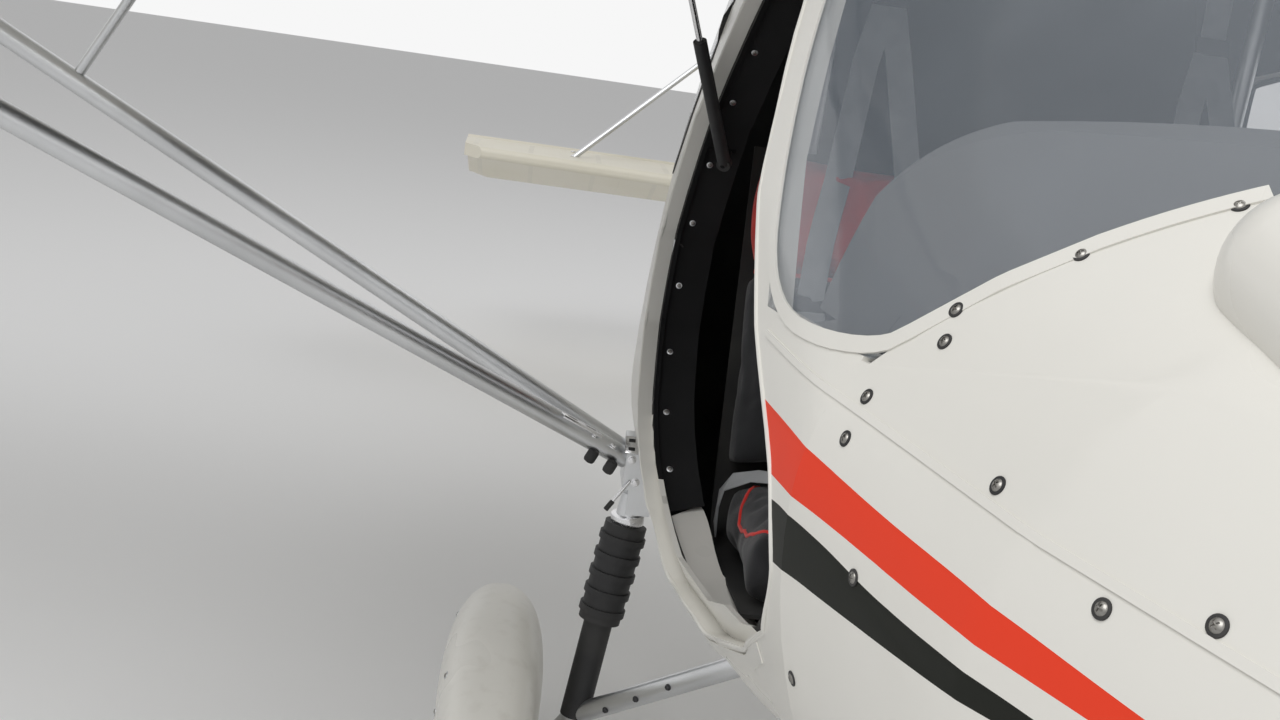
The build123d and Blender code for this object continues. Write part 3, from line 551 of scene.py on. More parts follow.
class Finishes:
    """Every material of the aeroplane, made once."""

    def __init__(self) -> None:
        """Make the materials."""
        self.pearl = PearlPaint().material("pearl_white")
        self.flange = PearlPaint(black_above=0.795).material("rebate_flange")
        self.banded = PearlPaint(banded=True).material("pearl_white_banded")
        self.banded_open = PearlPaint(banded=True, swung=True).material("pearl_white_banded_open")
        self.wing = DopedFabric().material("wing_covering")
        self.tail = DopedFabric(colour=(0.78, 0.745, 0.64), rib_pitch=0.27,
                                sag=0.004).material("tail_covering")
        self.tape = Moulded((0.72, 0.71, 0.67), 0.46, 500.0, 0.0001).material("rib_tape")
        self.glazing = Glazing().material("clear_glazing")
        self.tail_tape = Moulded((0.75, 0.72, 0.625), 0.46, 500.0, 0.0001).material("tail_tape")
        self.alloy = Metal((0.66, 0.67, 0.68), 0.34).material("bare_alloy")
        self.bright = Metal((0.75, 0.75, 0.76), 0.20).material("bright_steel")
        self.dark_metal = Metal((0.09, 0.09, 0.095), 0.45).material("blackened_steel")
        self.screw = Metal((0.30, 0.29, 0.27), 0.30).material("dulled_screw")
        self.engine = Metal((0.23, 0.235, 0.24), 0.55).material("cast_engine")
        self.rubber = Moulded((0.014, 0.014, 0.015), 0.55, 180.0).material("black_rubber")
        self.tyre = Moulded((0.024, 0.024, 0.025), 0.74, 90.0, 0.0006,
                            dusting=0.35).material("tyre_rubber")
        self.lining = WovenCloth((0.0035, 0.0035, 0.004), 0.95, 0.0016,
                                 0.02).material("black_lining")
        self.black_cloth = WovenCloth((0.013, 0.013, 0.015)).material("black_cloth")
        self.red_cloth = WovenCloth((0.62, 0.018, 0.010)).material("red_cloth")
        self.webbing = WovenCloth((0.36, 0.37, 0.38), 0.70, 0.0030).material("grey_webbing")
        self.composite = Moulded((0.11, 0.115, 0.12), 0.62, 220.0).material("grey_composite")
        self.shield = Moulded((0.150, 0.153, 0.156), 0.70, 260.0).material("grey_glareshield")
        self.panel = Moulded((0.030, 0.031, 0.033), 0.50).material("black_panel")
        self.floor = Moulded((0.018, 0.018, 0.018), 0.80).material("black_floor")
        self.blade = TippedBlade().material("black_blade")
        self.dial = Moulded((0.010, 0.010, 0.010), 0.40, 400.0, 0.00005).material("dial_face")
        self.mark = Moulded((0.80, 0.80, 0.76), 0.50, 400.0, 0.00005).material("dial_mark")
        self.red_lamp = Moulded((0.62, 0.010, 0.008), 0.12, 60.0, 0.0).material("red_lens")
        self.green_lamp = Moulded((0.010, 0.42, 0.08), 0.12, 60.0, 0.0).material("green_lens")
        self.white_lamp = Moulded((0.78, 0.80, 0.80), 0.10, 60.0, 0.0).material("clear_lens")


class Bench:
    """Modelling by hand: every call leaves one finished mesh with its place in its mesh."""

    def only(self, *pieces: Piece) -> None:
        """Select these pieces alone and make the first one active."""
        bpy.ops.object.select_all(action="DESELECT")
        for piece in pieces:
            piece.select_set(True)
        bpy.context.view_layer.objects.active = pieces[0]

    def named(self, piece: Piece, name: str) -> Piece:
        """Give a piece and its mesh a name."""
        piece.name = name
        piece.data.name = name
        return piece

    def fix(self, piece: Piece) -> None:
        """Move a piece's place, turn and scale into its mesh."""
        self.only(piece)
        bpy.ops.object.transform_apply(location=True, rotation=True, scale=True)

    def edit(self, piece: Piece, *steps: Callable[[], object]) -> None:
        """Take steps in edit mode, each on the whole of a piece.

        Args:
            piece: The mesh.
            *steps: Calls of the edit-mode operators, in order.
        """
        self.only(piece)
        bpy.ops.object.mode_set(mode="EDIT")
        for step in steps:
            bpy.ops.mesh.select_all(action="SELECT")
            step()
        bpy.ops.object.mode_set(mode="OBJECT")

    def modify(self, piece: Piece, kind: str, **settings: object) -> None:
        """Add a modifier and apply it.

        Args:
            piece: The mesh.
            kind: Type of the modifier.
            **settings: Attributes to set on it.
        """
        self.only(piece)
        modifier = piece.modifiers.new("step", kind)
        for key, value in settings.items():
            setattr(modifier, key, value)
        bpy.ops.object.modifier_apply(modifier=modifier.name)

    def cut(self, piece: Piece, cutter: Piece) -> None:
        """Cut one piece with another, which is used up."""
        self.modify(piece, "BOOLEAN", operation="DIFFERENCE", solver="EXACT", object=cutter)
        if not piece.data.vertices:
            LOG.warning("cut left nothing of %s", piece.name)
        bpy.data.objects.remove(cutter)

    def smooth(self, piece: Piece, degrees: float = 35.0) -> None:
        """Shade a piece smooth up to an angle."""
        self.only(piece)
        bpy.ops.object.shade_smooth_by_angle(angle=math.radians(degrees))

    def rounded(self, piece: Piece, width: float, segments: int = 2) -> None:
        """Round a piece's sharp edges."""
        self.modify(piece, "BEVEL", width=width, segments=segments, limit_method="ANGLE")
        self.smooth(piece)

    def block(self, name: str, centre: Vector, size: Point, edge: float = 0.0015,
              turn: Matrix | None = None) -> Piece:
        """Rectangular piece with rounded edges.

        Args:
            name: Name of the piece.
            centre: Its middle.
            size: Its sides before it is turned.
            edge: Radius of the edges.
            turn: Turn about its middle.

        Returns:
            The piece.
        """
        bpy.ops.mesh.primitive_cube_add(size=1.0)
        piece = self.named(bpy.context.object, name)
        piece.scale = size
        self.fix(piece)
        self.rounded(piece, edge)
        piece.matrix_world = Matrix.Translation(centre) @ (turn or Matrix.Identity(4))
        self.fix(piece)
        return piece

    def barrel(self, name: str, a: Vector, b: Vector, radius: float, sides: int = 32,
               edge: float = 0.0, bore: float = 0.0) -> Piece:
        """Round bar, or a tube where it has a bore, between two places.

        Args:
            name: Name of the piece.
            a: First end.
            b: Second end.
            radius: Outer radius.
            sides: Faces round it.
            edge: Radius of the end edges.
            bore: Inner radius.

        Returns:
            The piece.
        """
        along = b - a
        bpy.ops.mesh.primitive_cylinder_add(vertices=sides, radius=radius, depth=along.length)
        piece = self.named(bpy.context.object, name)
        if bore:
            self.hollow(piece, bore / radius)
        if edge:
            self.modify(piece, "BEVEL", width=edge, segments=2, limit_method="ANGLE",
                        angle_limit=math.radians(50.0))
        self.smooth(piece)
        piece.matrix_world = standing(a.lerp(b, 0.5), along)
        self.fix(piece)
        return piece

    def hollow(self, piece: Piece, share: float) -> None:
        """Bore an upright cylinder by insetting its ends and bridging the two rings.

        Args:
            piece: The cylinder.
            share: Bore over the outer radius.
        """
        self.only(piece)
        bpy.ops.object.mode_set(mode="EDIT")
        bpy.ops.mesh.select_mode(type="FACE")
        bpy.ops.mesh.select_all(action="DESELECT")
        bpy.ops.object.mode_set(mode="OBJECT")
        for face in piece.data.polygons:
            face.select = abs(face.normal.z) > 0.9
        bpy.ops.object.mode_set(mode="EDIT")
        radius = max(v.co.x for v in piece.data.vertices)
        bpy.ops.mesh.inset(thickness=radius * (1.0 - share), depth=0.0)
        bpy.ops.mesh.bridge_edge_loops()
        bpy.ops.object.mode_set(mode="OBJECT")

    def ball(self, name: str, centre: Vector, radius: float) -> Piece:
        """Ball about a place."""
        bpy.ops.mesh.primitive_uv_sphere_add(segments=24, ring_count=14, radius=radius)
        piece = self.named(bpy.context.object, name)
        self.smooth(piece)
        piece.location = centre
        self.fix(piece)
        return piece

    def tube(self, name: str, line: Sequence[Vector], radius: float, closed: bool = False
             ) -> Piece:
        """Round tube along a line.

        Args:
            name: Name of the piece.
            line: Places that it follows.
            radius: Its radius.
            closed: Whether it runs back to its start.

        Returns:
            The piece.
        """
        data = bpy.data.curves.new(name, "CURVE")
        data.dimensions = "3D"
        data.bevel_depth = radius
        data.bevel_resolution = TUBE_ROUNDNESS
        data.use_fill_caps = not closed
        run = data.splines.new("POLY")
        run.points.add(len(line) - 1)
        for point, place in zip(run.points, line):
            point.co = (*place, 1.0)
        run.use_cyclic_u = closed
        piece = bpy.data.objects.new(name, data)
        bpy.context.collection.objects.link(piece)
        self.only(piece)
        bpy.ops.object.convert(target="MESH")
        piece = self.named(bpy.context.object, name)
        self.smooth(piece, 50.0)
        return piece

    def band(self, name: str, line: Sequence[Hit], width: float, thick: float,
             proud: float = 0.0) -> Piece:
        """Flat band that follows places and face normals.

        Args:
            name: Name of the piece.
            line: Places with the normals that the band faces along.
            width: Its width.
            thick: Its thickness.
            proud: How far its middle stands off the line.

        Returns:
            The piece.
        """
        last = len(line) - 1
        bpy.ops.mesh.primitive_grid_add(x_subdivisions=2, y_subdivisions=last, size=1.0)
        piece = self.named(bpy.context.object, name)
        for vert in piece.data.vertices:
            k = round((vert.co.y + 0.5) * last)
            place, normal = line[k]
            along = (line[min(k + 1, last)][0] - line[max(k - 1, 0)][0]).normalized()
            side = along.cross(normal).normalized()
            vert.co = place + side * vert.co.x * width + normal * proud
        self.modify(piece, "SOLIDIFY", thickness=thick, offset=0.0)
        self.smooth(piece, 40.0)
        return piece

    def joined(self, name: str, pieces: Iterable[Piece]) -> Piece:
        """Join pieces of one finish into one."""
        pieces = list(pieces)
        if len(pieces) > 1:
            self.only(*pieces)
            bpy.ops.object.join()
        return self.named(pieces[0], name)

    def twin(self, piece: Piece) -> Piece:
        """Copy of a piece with its own mesh."""
        copy = piece.copy()
        copy.data = piece.data.copy()
        bpy.context.collection.objects.link(copy)
        return copy

    def copies(self, name: str, master: Piece, places: Iterable[Matrix]) -> Piece:
        """Copy a piece made at the origin to many places and join the copies.

        Args:
            name: Name of the joined piece.
            master: The piece, which is used up.
            places: Where the copies go.

        Returns:
            The joined piece.
        """
        made = []
        for place in places:
            made.append(self.twin(master))
            made[-1].data.transform(place)
        bpy.data.objects.remove(master)
        return self.joined(name, made)

    def mirrored(self, piece: Piece, name: str) -> Piece:
        """Copy a piece to the other side of the aeroplane, with its faces outwards again."""
        copy = self.twin(piece)
        copy.scale.x = -1.0
        self.fix(copy)
        copy.data.flip_normals()
        return self.named(copy, name)

    def renewed(self, node: Piece, name: str, degrees: float = 28.0) -> Piece:
        """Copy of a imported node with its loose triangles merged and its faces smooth.

        Args:
            node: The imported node.
            name: Name of the copy.
            degrees: Edges sharper than this stay sharp.

        Returns:
            The copy.
        """
        copy = self.named(self.twin(node), name)
        for key in list(copy.keys()):
            del copy[key]
        copy.parent = None
        self.only(copy)
        bpy.ops.mesh.customdata_custom_splitnormals_clear()
        self.edit(copy, lambda: bpy.ops.mesh.remove_doubles(threshold=0.00002),
                  lambda: bpy.ops.mesh.tris_convert_to_quads(face_threshold=0.03,
                                                             shape_threshold=0.7))
        self.smooth(copy, degrees)
        self.modify(copy, "WEIGHTED_NORMAL", keep_sharp=True, weight=80)
        return copy


class Skin:
    """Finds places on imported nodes' surfaces by casting rays at them."""

    def __init__(self, meshes: Iterable[bpy.types.Mesh]) -> None:
        """Gather the meshes' faces.

        Args:
            meshes: Meshes whose objects stand at the origin.
        """
        places: list[Vector] = []
        faces: list[list[int]] = []
        for mesh in meshes:
            first = len(places)
            places.extend(v.co.copy() for v in mesh.vertices)
            faces.extend([first + i for i in face.vertices] for face in mesh.polygons)
        self.tree = BVHTree.FromPolygons(places, faces)

    def touch(self, start: Vector, towards: Vector) -> Hit | None:
        """First place that a ray touches, with the normal on the ray's side."""
        place, normal, _, _ = self.tree.ray_cast(start, towards.normalized())
        if place is None:
            return None
        return place, normal if normal.dot(towards) < 0 else -normal

    def beside(self, side: Side, s: float, z: float) -> Hit | None:
        """Place on the side at a station and height, seen from outside."""
        return self.touch(spot(side.value * 2.0, s, z), Vector((-side.value, 0, 0)))

    def around(self, x: float, s: float, z: float) -> Hit | None:
        """Place where the line from the pod's axis through a point leaves the skin."""
        axis = spot(0.0, s, AXIS_Z)
        out = (spot(x, s, z) - axis).normalized()
        return self.touch(axis + out * 2.0, -out)

    def under(self, x: float, s: float, up: bool) -> Hit | None:
        """Place on the top, or on the underside, at a station."""
        way = 1.0 if up else -1.0
        return self.touch(spot(x, s, 1.0 + way * 3.0), Vector((0, 0, -way)))


@dataclass
class Assembly:
    """A sub-assembly with the bench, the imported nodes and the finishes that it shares."""

    bench: Bench
    nodes: dict[str, Piece]
    finishes: Finishes

    def keep(self, piece: Piece, material: bpy.types.Material, slot: str,
             body: str = "airframe", stands_for: Sequence[str] = ()) -> Piece:
        """Give a piece its finish and its body.

        Args:
            piece: The finished mesh.
            material: Its material, left alone where the piece has several already.
            slot: Material slot of the record; not used.
            body: Body that it rides on.
            stands_for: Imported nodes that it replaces.

        Returns:
            The piece.
        """
        if len(piece.data.materials) < 2:
            piece.data.materials.clear()
            piece.data.materials.append(material)
        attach(piece, body)
        if stands_for:
            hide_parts(*stands_for)
        LOG.info("made %s on %s", piece.name, body)
        return piece

    def paint(self, material: bpy.types.Material, *names: str) -> None:
        """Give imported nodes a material."""
        for name in names:
            node = self.nodes[name]
            node.data.materials.clear()
            node.data.materials.append(material)
            LOG.info("finished %s in %s", name, material.name)

    def renew(self, name: str, material: bpy.types.Material, slot: str, body: str = "airframe",
              degrees: float = 28.0) -> Piece:
        """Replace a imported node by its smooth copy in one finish."""
        copy = self.bench.renewed(self.nodes[name], name + "_smooth", degrees)
        return self.keep(copy, material, slot, body, [name])

    def skin(self, *names: str) -> Skin:
        """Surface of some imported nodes."""
        return Skin(self.nodes[name].data for name in names)

    def traced(self, edge: Outline) -> list[Vector]:
        """Walk an opening's edge, round its corners and add places along the straights.

        Args:
            edge: Stations and heights of the corners.

        Returns:
            Places with the station as X and the height as Y.
        """
        corners = [Vector((s, z, 0.0)) for s, z in edge]
        tight = [corners[0]]
        for before, corner, after in zip(corners, corners[1:], corners[2:]):
            tight.append(corner + (before - corner).normalized() * CORNER)
            tight.append(corner + (after - corner).normalized() * CORNER)
        tight.append(corners[-1])
        eased = smoothed(tight, 2, False)
        line = [eased[0]]
        for a, b in zip(eased, eased[1:]):
            parts = max(1, math.ceil((b - a).length / PITCH))
            line += [a.lerp(b, (k + 1) / parts) for k in range(parts)]
        return line

    def ringed(self, skin: Skin, edge: Outline, side: Side) -> list[Hit]:
        """Follow a window's edge all round, with its corners hardly rounded.

        Args:
            skin: The surface.
            edge: Stations and heights of the corners.
            side: Side of the aeroplane.

        Returns:
            Places and normals, from the middle of the last straight back to it.
        """
        start = ((edge[0][0] + edge[-1][0]) / 2, (edge[0][1] + edge[-1][1]) / 2)
        hits = [skin.beside(side, p.x, p.y) for p in self.traced([start, *edge, start])]
        return [hit for hit in hits if hit]

    def taped(self, rows: Iterable[Sequence[Hit | None]], axis: int, facing: float,
              width: float) -> list[Piece]:
        """Lay fabric tapes along rows of places, where the covering faces the right way.

        Args:
            rows: Places and normals along each tape.
            axis: Axis that the covering looks along, 0 for X and 2 for Z.
            facing: Least share of the normal along it.
            width: Width of the tapes.

        Returns:
            The tapes.
        """
        found = [[h for h in row if h and abs(h[1][axis]) > facing] for row in rows]
        return [self.bench.band("tape", row, width, 0.0006, 0.0002)
                for row in found if len(row) > 2]

    def screw(self, radius: float = 0.0052) -> Piece:
        """Dome-headed screw with a cross recess, standing on the origin along Z."""
        bpy.ops.mesh.primitive_uv_sphere_add(segments=20, ring_count=12, radius=radius)
        head = self.bench.named(bpy.context.object, "screw_head")
        head.scale.z = 0.62
        self.bench.fix(head)
        for turn in (0.0, math.pi / 2):
            bar = self.bench.block("recess", Vector((0, 0, radius * 0.62)),
                                   (radius * 1.1, radius * 0.24, radius * 0.5), radius * 0.03,
                                   Matrix.Rotation(turn, 4, "Z"))
            self.bench.cut(head, bar)
        self.bench.smooth(head, 30.0)
        return head

    def washer(self, radius: float = 0.0070) -> Piece:
        """Washer under a screw's head."""
        return self.bench.barrel("washer", Vector((0, 0, -0.0006)), Vector((0, 0, 0.0012)),
                                 radius, 24, 0.0003)

    def bolt(self, radius: float = 0.0065, height: float = 0.006) -> Piece:
        """Hexagon bolt head on a washer, standing on the origin along Z."""
        head = self.bench.barrel("bolt_head", Vector((0, 0, 0.001)), Vector((0, 0, height)),
                                 radius, 6, 0.0006)
        return self.bench.joined("bolt", [head, self.washer(radius * 1.25)])

    def screws(self, name: str, hits: Sequence[Hit | None], body: str = "airframe",
               radius: float = 0.0052, dark_washer: bool = True) -> None:
        """Set a row of screws with washers on surfaces.

        Args:
            name: Name of the row.
            hits: Places and normals.
            body: Body that it rides on.
            radius: Radius of the heads.
            dark_washer: Whether the washers are black plastic.
        """
        places = [standing(place, normal, 0.7 * index)
                  for index, (place, normal) in enumerate(h for h in hits if h)]
        heads = self.bench.copies(name, self.screw(radius), places)
        self.keep(heads, self.finishes.screw, "dark_steel", body)
        rings = self.bench.copies(name + "_washers", self.washer(radius * 1.35), places)
        if dark_washer:
            self.keep(rings, self.finishes.rubber, "bellows_black", body)
        else:
            self.keep(rings, self.finishes.alloy, "alloy", body)


# Edges on the pod's left side: stations and heights of their corners.
DOOR_EDGE = ((1.730, 1.836), (1.650, 1.560), (1.545, 1.335), (1.400, 1.212), (1.235, 1.125),
             (1.182, 1.045), (1.240, 0.955), (1.560, 0.775), (1.800, 0.672), (1.960, 0.676),
             (2.070, 0.748), (2.215, 0.880), (2.325, 1.000), (2.372, 1.160), (2.310, 1.370),
             (2.150, 1.590), (2.085, 1.836))
AFT_POST = DOOR_EDGE[:9:-1]
SILL = (*DOOR_EDGE[10:6:-1], (1.300, 0.921))
DOOR_MIDDLE = (1.78, 1.20)
DOOR_WINDOW = ((1.760, 1.760), (1.715, 1.560), (1.610, 1.350), (1.480, 1.215), (1.540, 1.150),
               (2.240, 1.120), (2.300, 1.180), (2.240, 1.360), (2.090, 1.570), (2.035, 1.760))
REAR_WINDOW = ((2.440, 1.250), (2.760, 1.290), (2.700, 1.560), (2.330, 1.640), (2.380, 1.420))
SCREEN_EDGE = ((0.998, 1.448), (1.052, 1.378), (1.100, 1.315), (1.140, 1.258), (1.380, 1.243),
               (1.500, 1.385), (1.590, 1.570), (1.648, 1.770))
# How far from a corner its rounding starts, and the spacing of places along an edge.
CORNER = 0.014
PITCH = 0.030


@dataclass
class Pod(Assembly):
    """Moulded cabin pod: shell, cowls, glazing, seams, screws and linings."""

    wall: float = 0.018
    cowl_wall: float = 0.0045
    door_wall: float = 0.0135
    jump: float = 0.06
    cowl_split: Point = (0.30, 1.055, 1.2215)
    latch_at: Point = (0.599, 2.354, 1.118)
    screw_pitch: float = 0.105
    cowl_screws: tuple[Point, ...] = (
        (0.353, 1.0005, 1.435), (0.441, 1.044, 1.3805), (0.510, 1.093, 1.317),
        (0.520, 1.077, 1.294), (0.563, 1.109, 1.233), (0.577, 1.101, 1.198),
        (0.516, 0.915, 1.234), (0.5715, 1.019, 1.112), (0.454, 0.7275, 1.231),
        (0.372, 0.560, 1.232), (0.272, 0.400, 1.232), (0.480, 0.790, 1.205),
        (0.590, 1.130, 0.960), (0.520, 1.130, 0.760), (0.330, 1.130, 0.600),
        (0.240, 0.970, 1.470), (0.120, 0.958, 1.492))

    def depth_test(self) -> Callable[[Vector], float]:
        """Make the test of how deep below the pod's skin a place lies."""
        skin = self.skin("cabin_shell", "door_left", "door_glass_left", "rear_glass",
                         "windscreen", "cowl_upper", "cowl_lower")

        def depth(place: Vector) -> float:
            """Depth of a place below the skin, from the pod's axis outwards."""
            axis = Vector((0.0, place.y, AXIS_Z))
            out = Vector((abs(place.x), place.y, place.z)) - axis
            reach = out.length
            hit = skin.touch(axis + out.normalized() * 2.0, -out)
            return (hit[0] - axis).length - reach if hit else 0.0

        return depth

    def shells(self) -> None:
        """Replace shell, cowls and doors by smooth copies, lined on the inside."""
        depth = self.depth_test()
        f = self.finishes
        still = Matrix.Identity(4)
        for name, wall, body, outside, inside, back in (
                ("cabin_shell", self.wall, "airframe", f.banded, f.lining, still),
                ("cowl_upper", self.cowl_wall, "airframe", f.banded, f.composite, still),
                ("cowl_lower", self.cowl_wall, "airframe", f.banded, f.composite, still),
                ("door_left", self.door_wall, "door_left_body", f.banded, f.lining, still),
                ("door_right", self.door_wall, "door_right_body", f.banded_open, f.lining,
                 swung(-DOOR_SWING))):
            copy = self.bench.renewed(self.nodes[name], name + "_smooth")
            copy.data.materials.clear()
            for material in (outside, inside, f.flange):
                copy.data.materials.append(material)
            for face in copy.data.polygons:
                place = back @ face.center
                inner = depth(place) > wall
                flange = (name == "cabin_shell" and abs(place.x) > 0.42 and place.z < 1.80
                        and math.copysign(1.0, place.x) * face.normal.x > -0.35
                        and station(1.25) < place.y < station(2.45))
                face.material_index = 2 if inner and flange else int(inner)
            self.keep(copy, outside, "shell_white", body, [name])

    def glazing(self) -> None:
        """Replace the panes by smooth copies."""
        for name, body in (("windscreen", "airframe"), ("rear_glass", "airframe"),
                           ("door_glass_left", "door_left_body"),
                           ("door_glass_right", "door_right_body")):
            self.renew(name, self.finishes.glazing, "clear_panel", body)

    def screen_line(self, skin: Skin, side: Side) -> list[Hit]:
        """Follow the windscreen's edge.

        Args:
            skin: The pod's surface.
            side: Side of the aeroplane.

        Returns:
            Places and normals, without those that jump to another surface.
        """
        hits: list[Hit] = []
        for place in smoothed([Vector((s, z, 0.0)) for s, z in SCREEN_EDGE], 3, False):
            hit = skin.beside(side, place.x, place.y)
            if hit and (not hits or abs(hit[0].x - hits[-1][0].x) < self.jump):
                hits.append(hit)
        return hits

    def seams(self) -> None:
        """Raise the moulded lips along the cowl's split and round the windscreen."""
        skin = self.skin("cabin_shell", "cowl_upper", "cowl_lower", "windscreen")
        steps = 44
        start, long, height = self.cowl_split
        lips = []
        for side in Side:
            lip = [skin.beside(side, start + long * k / steps, height) for k in range(steps + 1)]
            lips.append(self.bench.band("lip", [h for h in lip if h], 0.007, 0.0024, 0.0006))
        self.keep(self.bench.joined("cowl_seam_lips", lips), self.finishes.pearl, "shell_white")
        frames = []
        for side in Side:
            line = self.screen_line(skin, side)
            frames.append(self.bench.band("trim", line, 0.016, 0.0026, 0.0008))
        self.keep(self.bench.joined("windscreen_edge_trim", frames), self.finishes.pearl,
                  "shell_white")

    def fasteners(self) -> None:
        """Screw the cowls and the windscreen down."""
        skin = self.skin("cabin_shell", "cowl_upper", "cowl_lower", "windscreen")
        for side in Side:
            hits = [skin.around(side.value * x, s, z) for x, s, z in self.cowl_screws]
            self.screws("cowl_screws_" + side.word, hits)

    def edgings(self) -> None:
        """Edge the rear windows with black rubber."""
        skin = self.skin("cabin_shell", "rear_glass")
        for side in Side:
            rear = self.ringed(skin, REAR_WINDOW, side)
            edging = self.bench.band("rear_window_edging_" + side.word, rear, 0.018, 0.002, 0.0006)
            self.keep(edging, self.finishes.rubber, "bellows_black")

    def board(self, side: Side, edge: Outline, inset: float,
              deep: float, facing_out: bool = False) -> list[Hit]:
        """Places for a board that runs along a door opening.

        Args:
            side: Side of the aeroplane.
            edge: Stations and heights along the opening.
            inset: How far it stands off the edge, into the opening.
            deep: How far its middle lies inboard of the skin.
            facing_out: Whether it faces away from the pod and not into the opening.

        Returns:
            Places and normals, eased along the board.
        """
        skin = self.skin("cabin_shell", "door_left")
        line = self.traced(edge)
        rows: list[Hit] = []
        for k, place in enumerate(line):
            along = (line[min(k + 1, len(line) - 1)] - line[max(k - 1, 0)]).normalized()
            way = Vector((along.y, -along.x, 0.0))
            if way.dot(Vector(DOOR_MIDDLE).to_3d() - place) < 0:
                way = -way
            there = place + way * inset
            hit = skin.beside(Side.LEFT, there.x, there.y)
            if hit:
                normal = hit[1] if facing_out else Vector((0.0, way.x, way.y))
                rows.append((hit[0] - Vector((deep, 0.0, 0.0)), normal))
        for _ in range(8):
            inner = [(Vector(((a[0].x + b[0].x + c[0].x) / 3, b[0].y, b[0].z)),
                      (a[1] + b[1] + c[1]).normalized())
                     for a, b, c in zip(rows, rows[1:], rows[2:])]
            rows = [rows[0], *inner, rows[-1]]
        return [(Vector((side.value * p.x, p.y, p.z)), Vector((side.value * n.x, n.y, n.z)))
                for p, n in rows]

    def post_trims(self) -> None:
        """Board the door posts in black, and cap and edge the sills in white."""
        for side in Side:
            hits = self.board(side, AFT_POST, 0.012, 0.062)
            trim = self.bench.band("post_trim_" + side.word, hits, 0.064, 0.003)
            self.keep(trim, self.finishes.lining, "floor_black")
            cap = self.bench.band("sill_cap_" + side.word,
                                  self.board(side, SILL, 0.0028, 0.033), 0.060, 0.0014)
            self.keep(cap, self.finishes.pearl, "shell_white")
            rim = self.bench.band("door_rim_" + side.word,
                                  self.board(side, AFT_POST[1:] + SILL[1:], -0.0185, 0.0, True),
                                  0.022, 0.0016, 0.0010)
            self.keep(rim, self.finishes.pearl, "shell_white")
            lip = self.bench.tube("door_lip_" + side.word,
                                  [p for p, _ in self.board(side, DOOR_EDGE[::-1], -0.0042,
                                                            0.0004)], 0.0032)
            self.keep(lip, self.finishes.pearl, "shell_white")
            run = 0.0
            marks: list[Hit] = []
            for (before, _), (place, normal) in zip(hits, hits[1:]):
                run += (place - before).length
                if run > self.screw_pitch:
                    marks.append((place + Vector((side.value * 0.016, 0.0, 0.0))
                                  + normal * 0.0015, normal))
                    run = 0.0
            self.screws("post_screws_" + side.word, marks, radius=0.0040, dark_washer=False)
            self.latch(side)

    def latch(self, side: Side) -> None:
        """Screw the grey striker plate with its black socket to a door post."""
        x, s, z = self.latch_at
        centre = spot(side.value * x, s, z)
        plate = self.bench.block("latch_plate_" + side.word, centre, (0.030, 0.0035, 0.052),
                                 0.0012)
        self.keep(plate, self.finishes.alloy, "alloy")
        hole = centre + Vector((side.value * 0.004, -0.001, 0.013))
        socket = self.bench.barrel("latch_socket_" + side.word, hole,
                                   hole + Vector((0, -0.004, 0)), 0.0075, 24, 0.0005, 0.0048)
        self.keep(socket, self.finishes.rubber, "bellows_black")

    def build(self) -> None:
        """Make everything on the pod."""
        self.shells()
        self.glazing()
        self.seams()
        self.fasteners()
        self.edgings()
        self.post_trims()
        for name in ("tail_cone", "roof_panel"):
            self.renew(name, self.finishes.pearl, "shell_white")


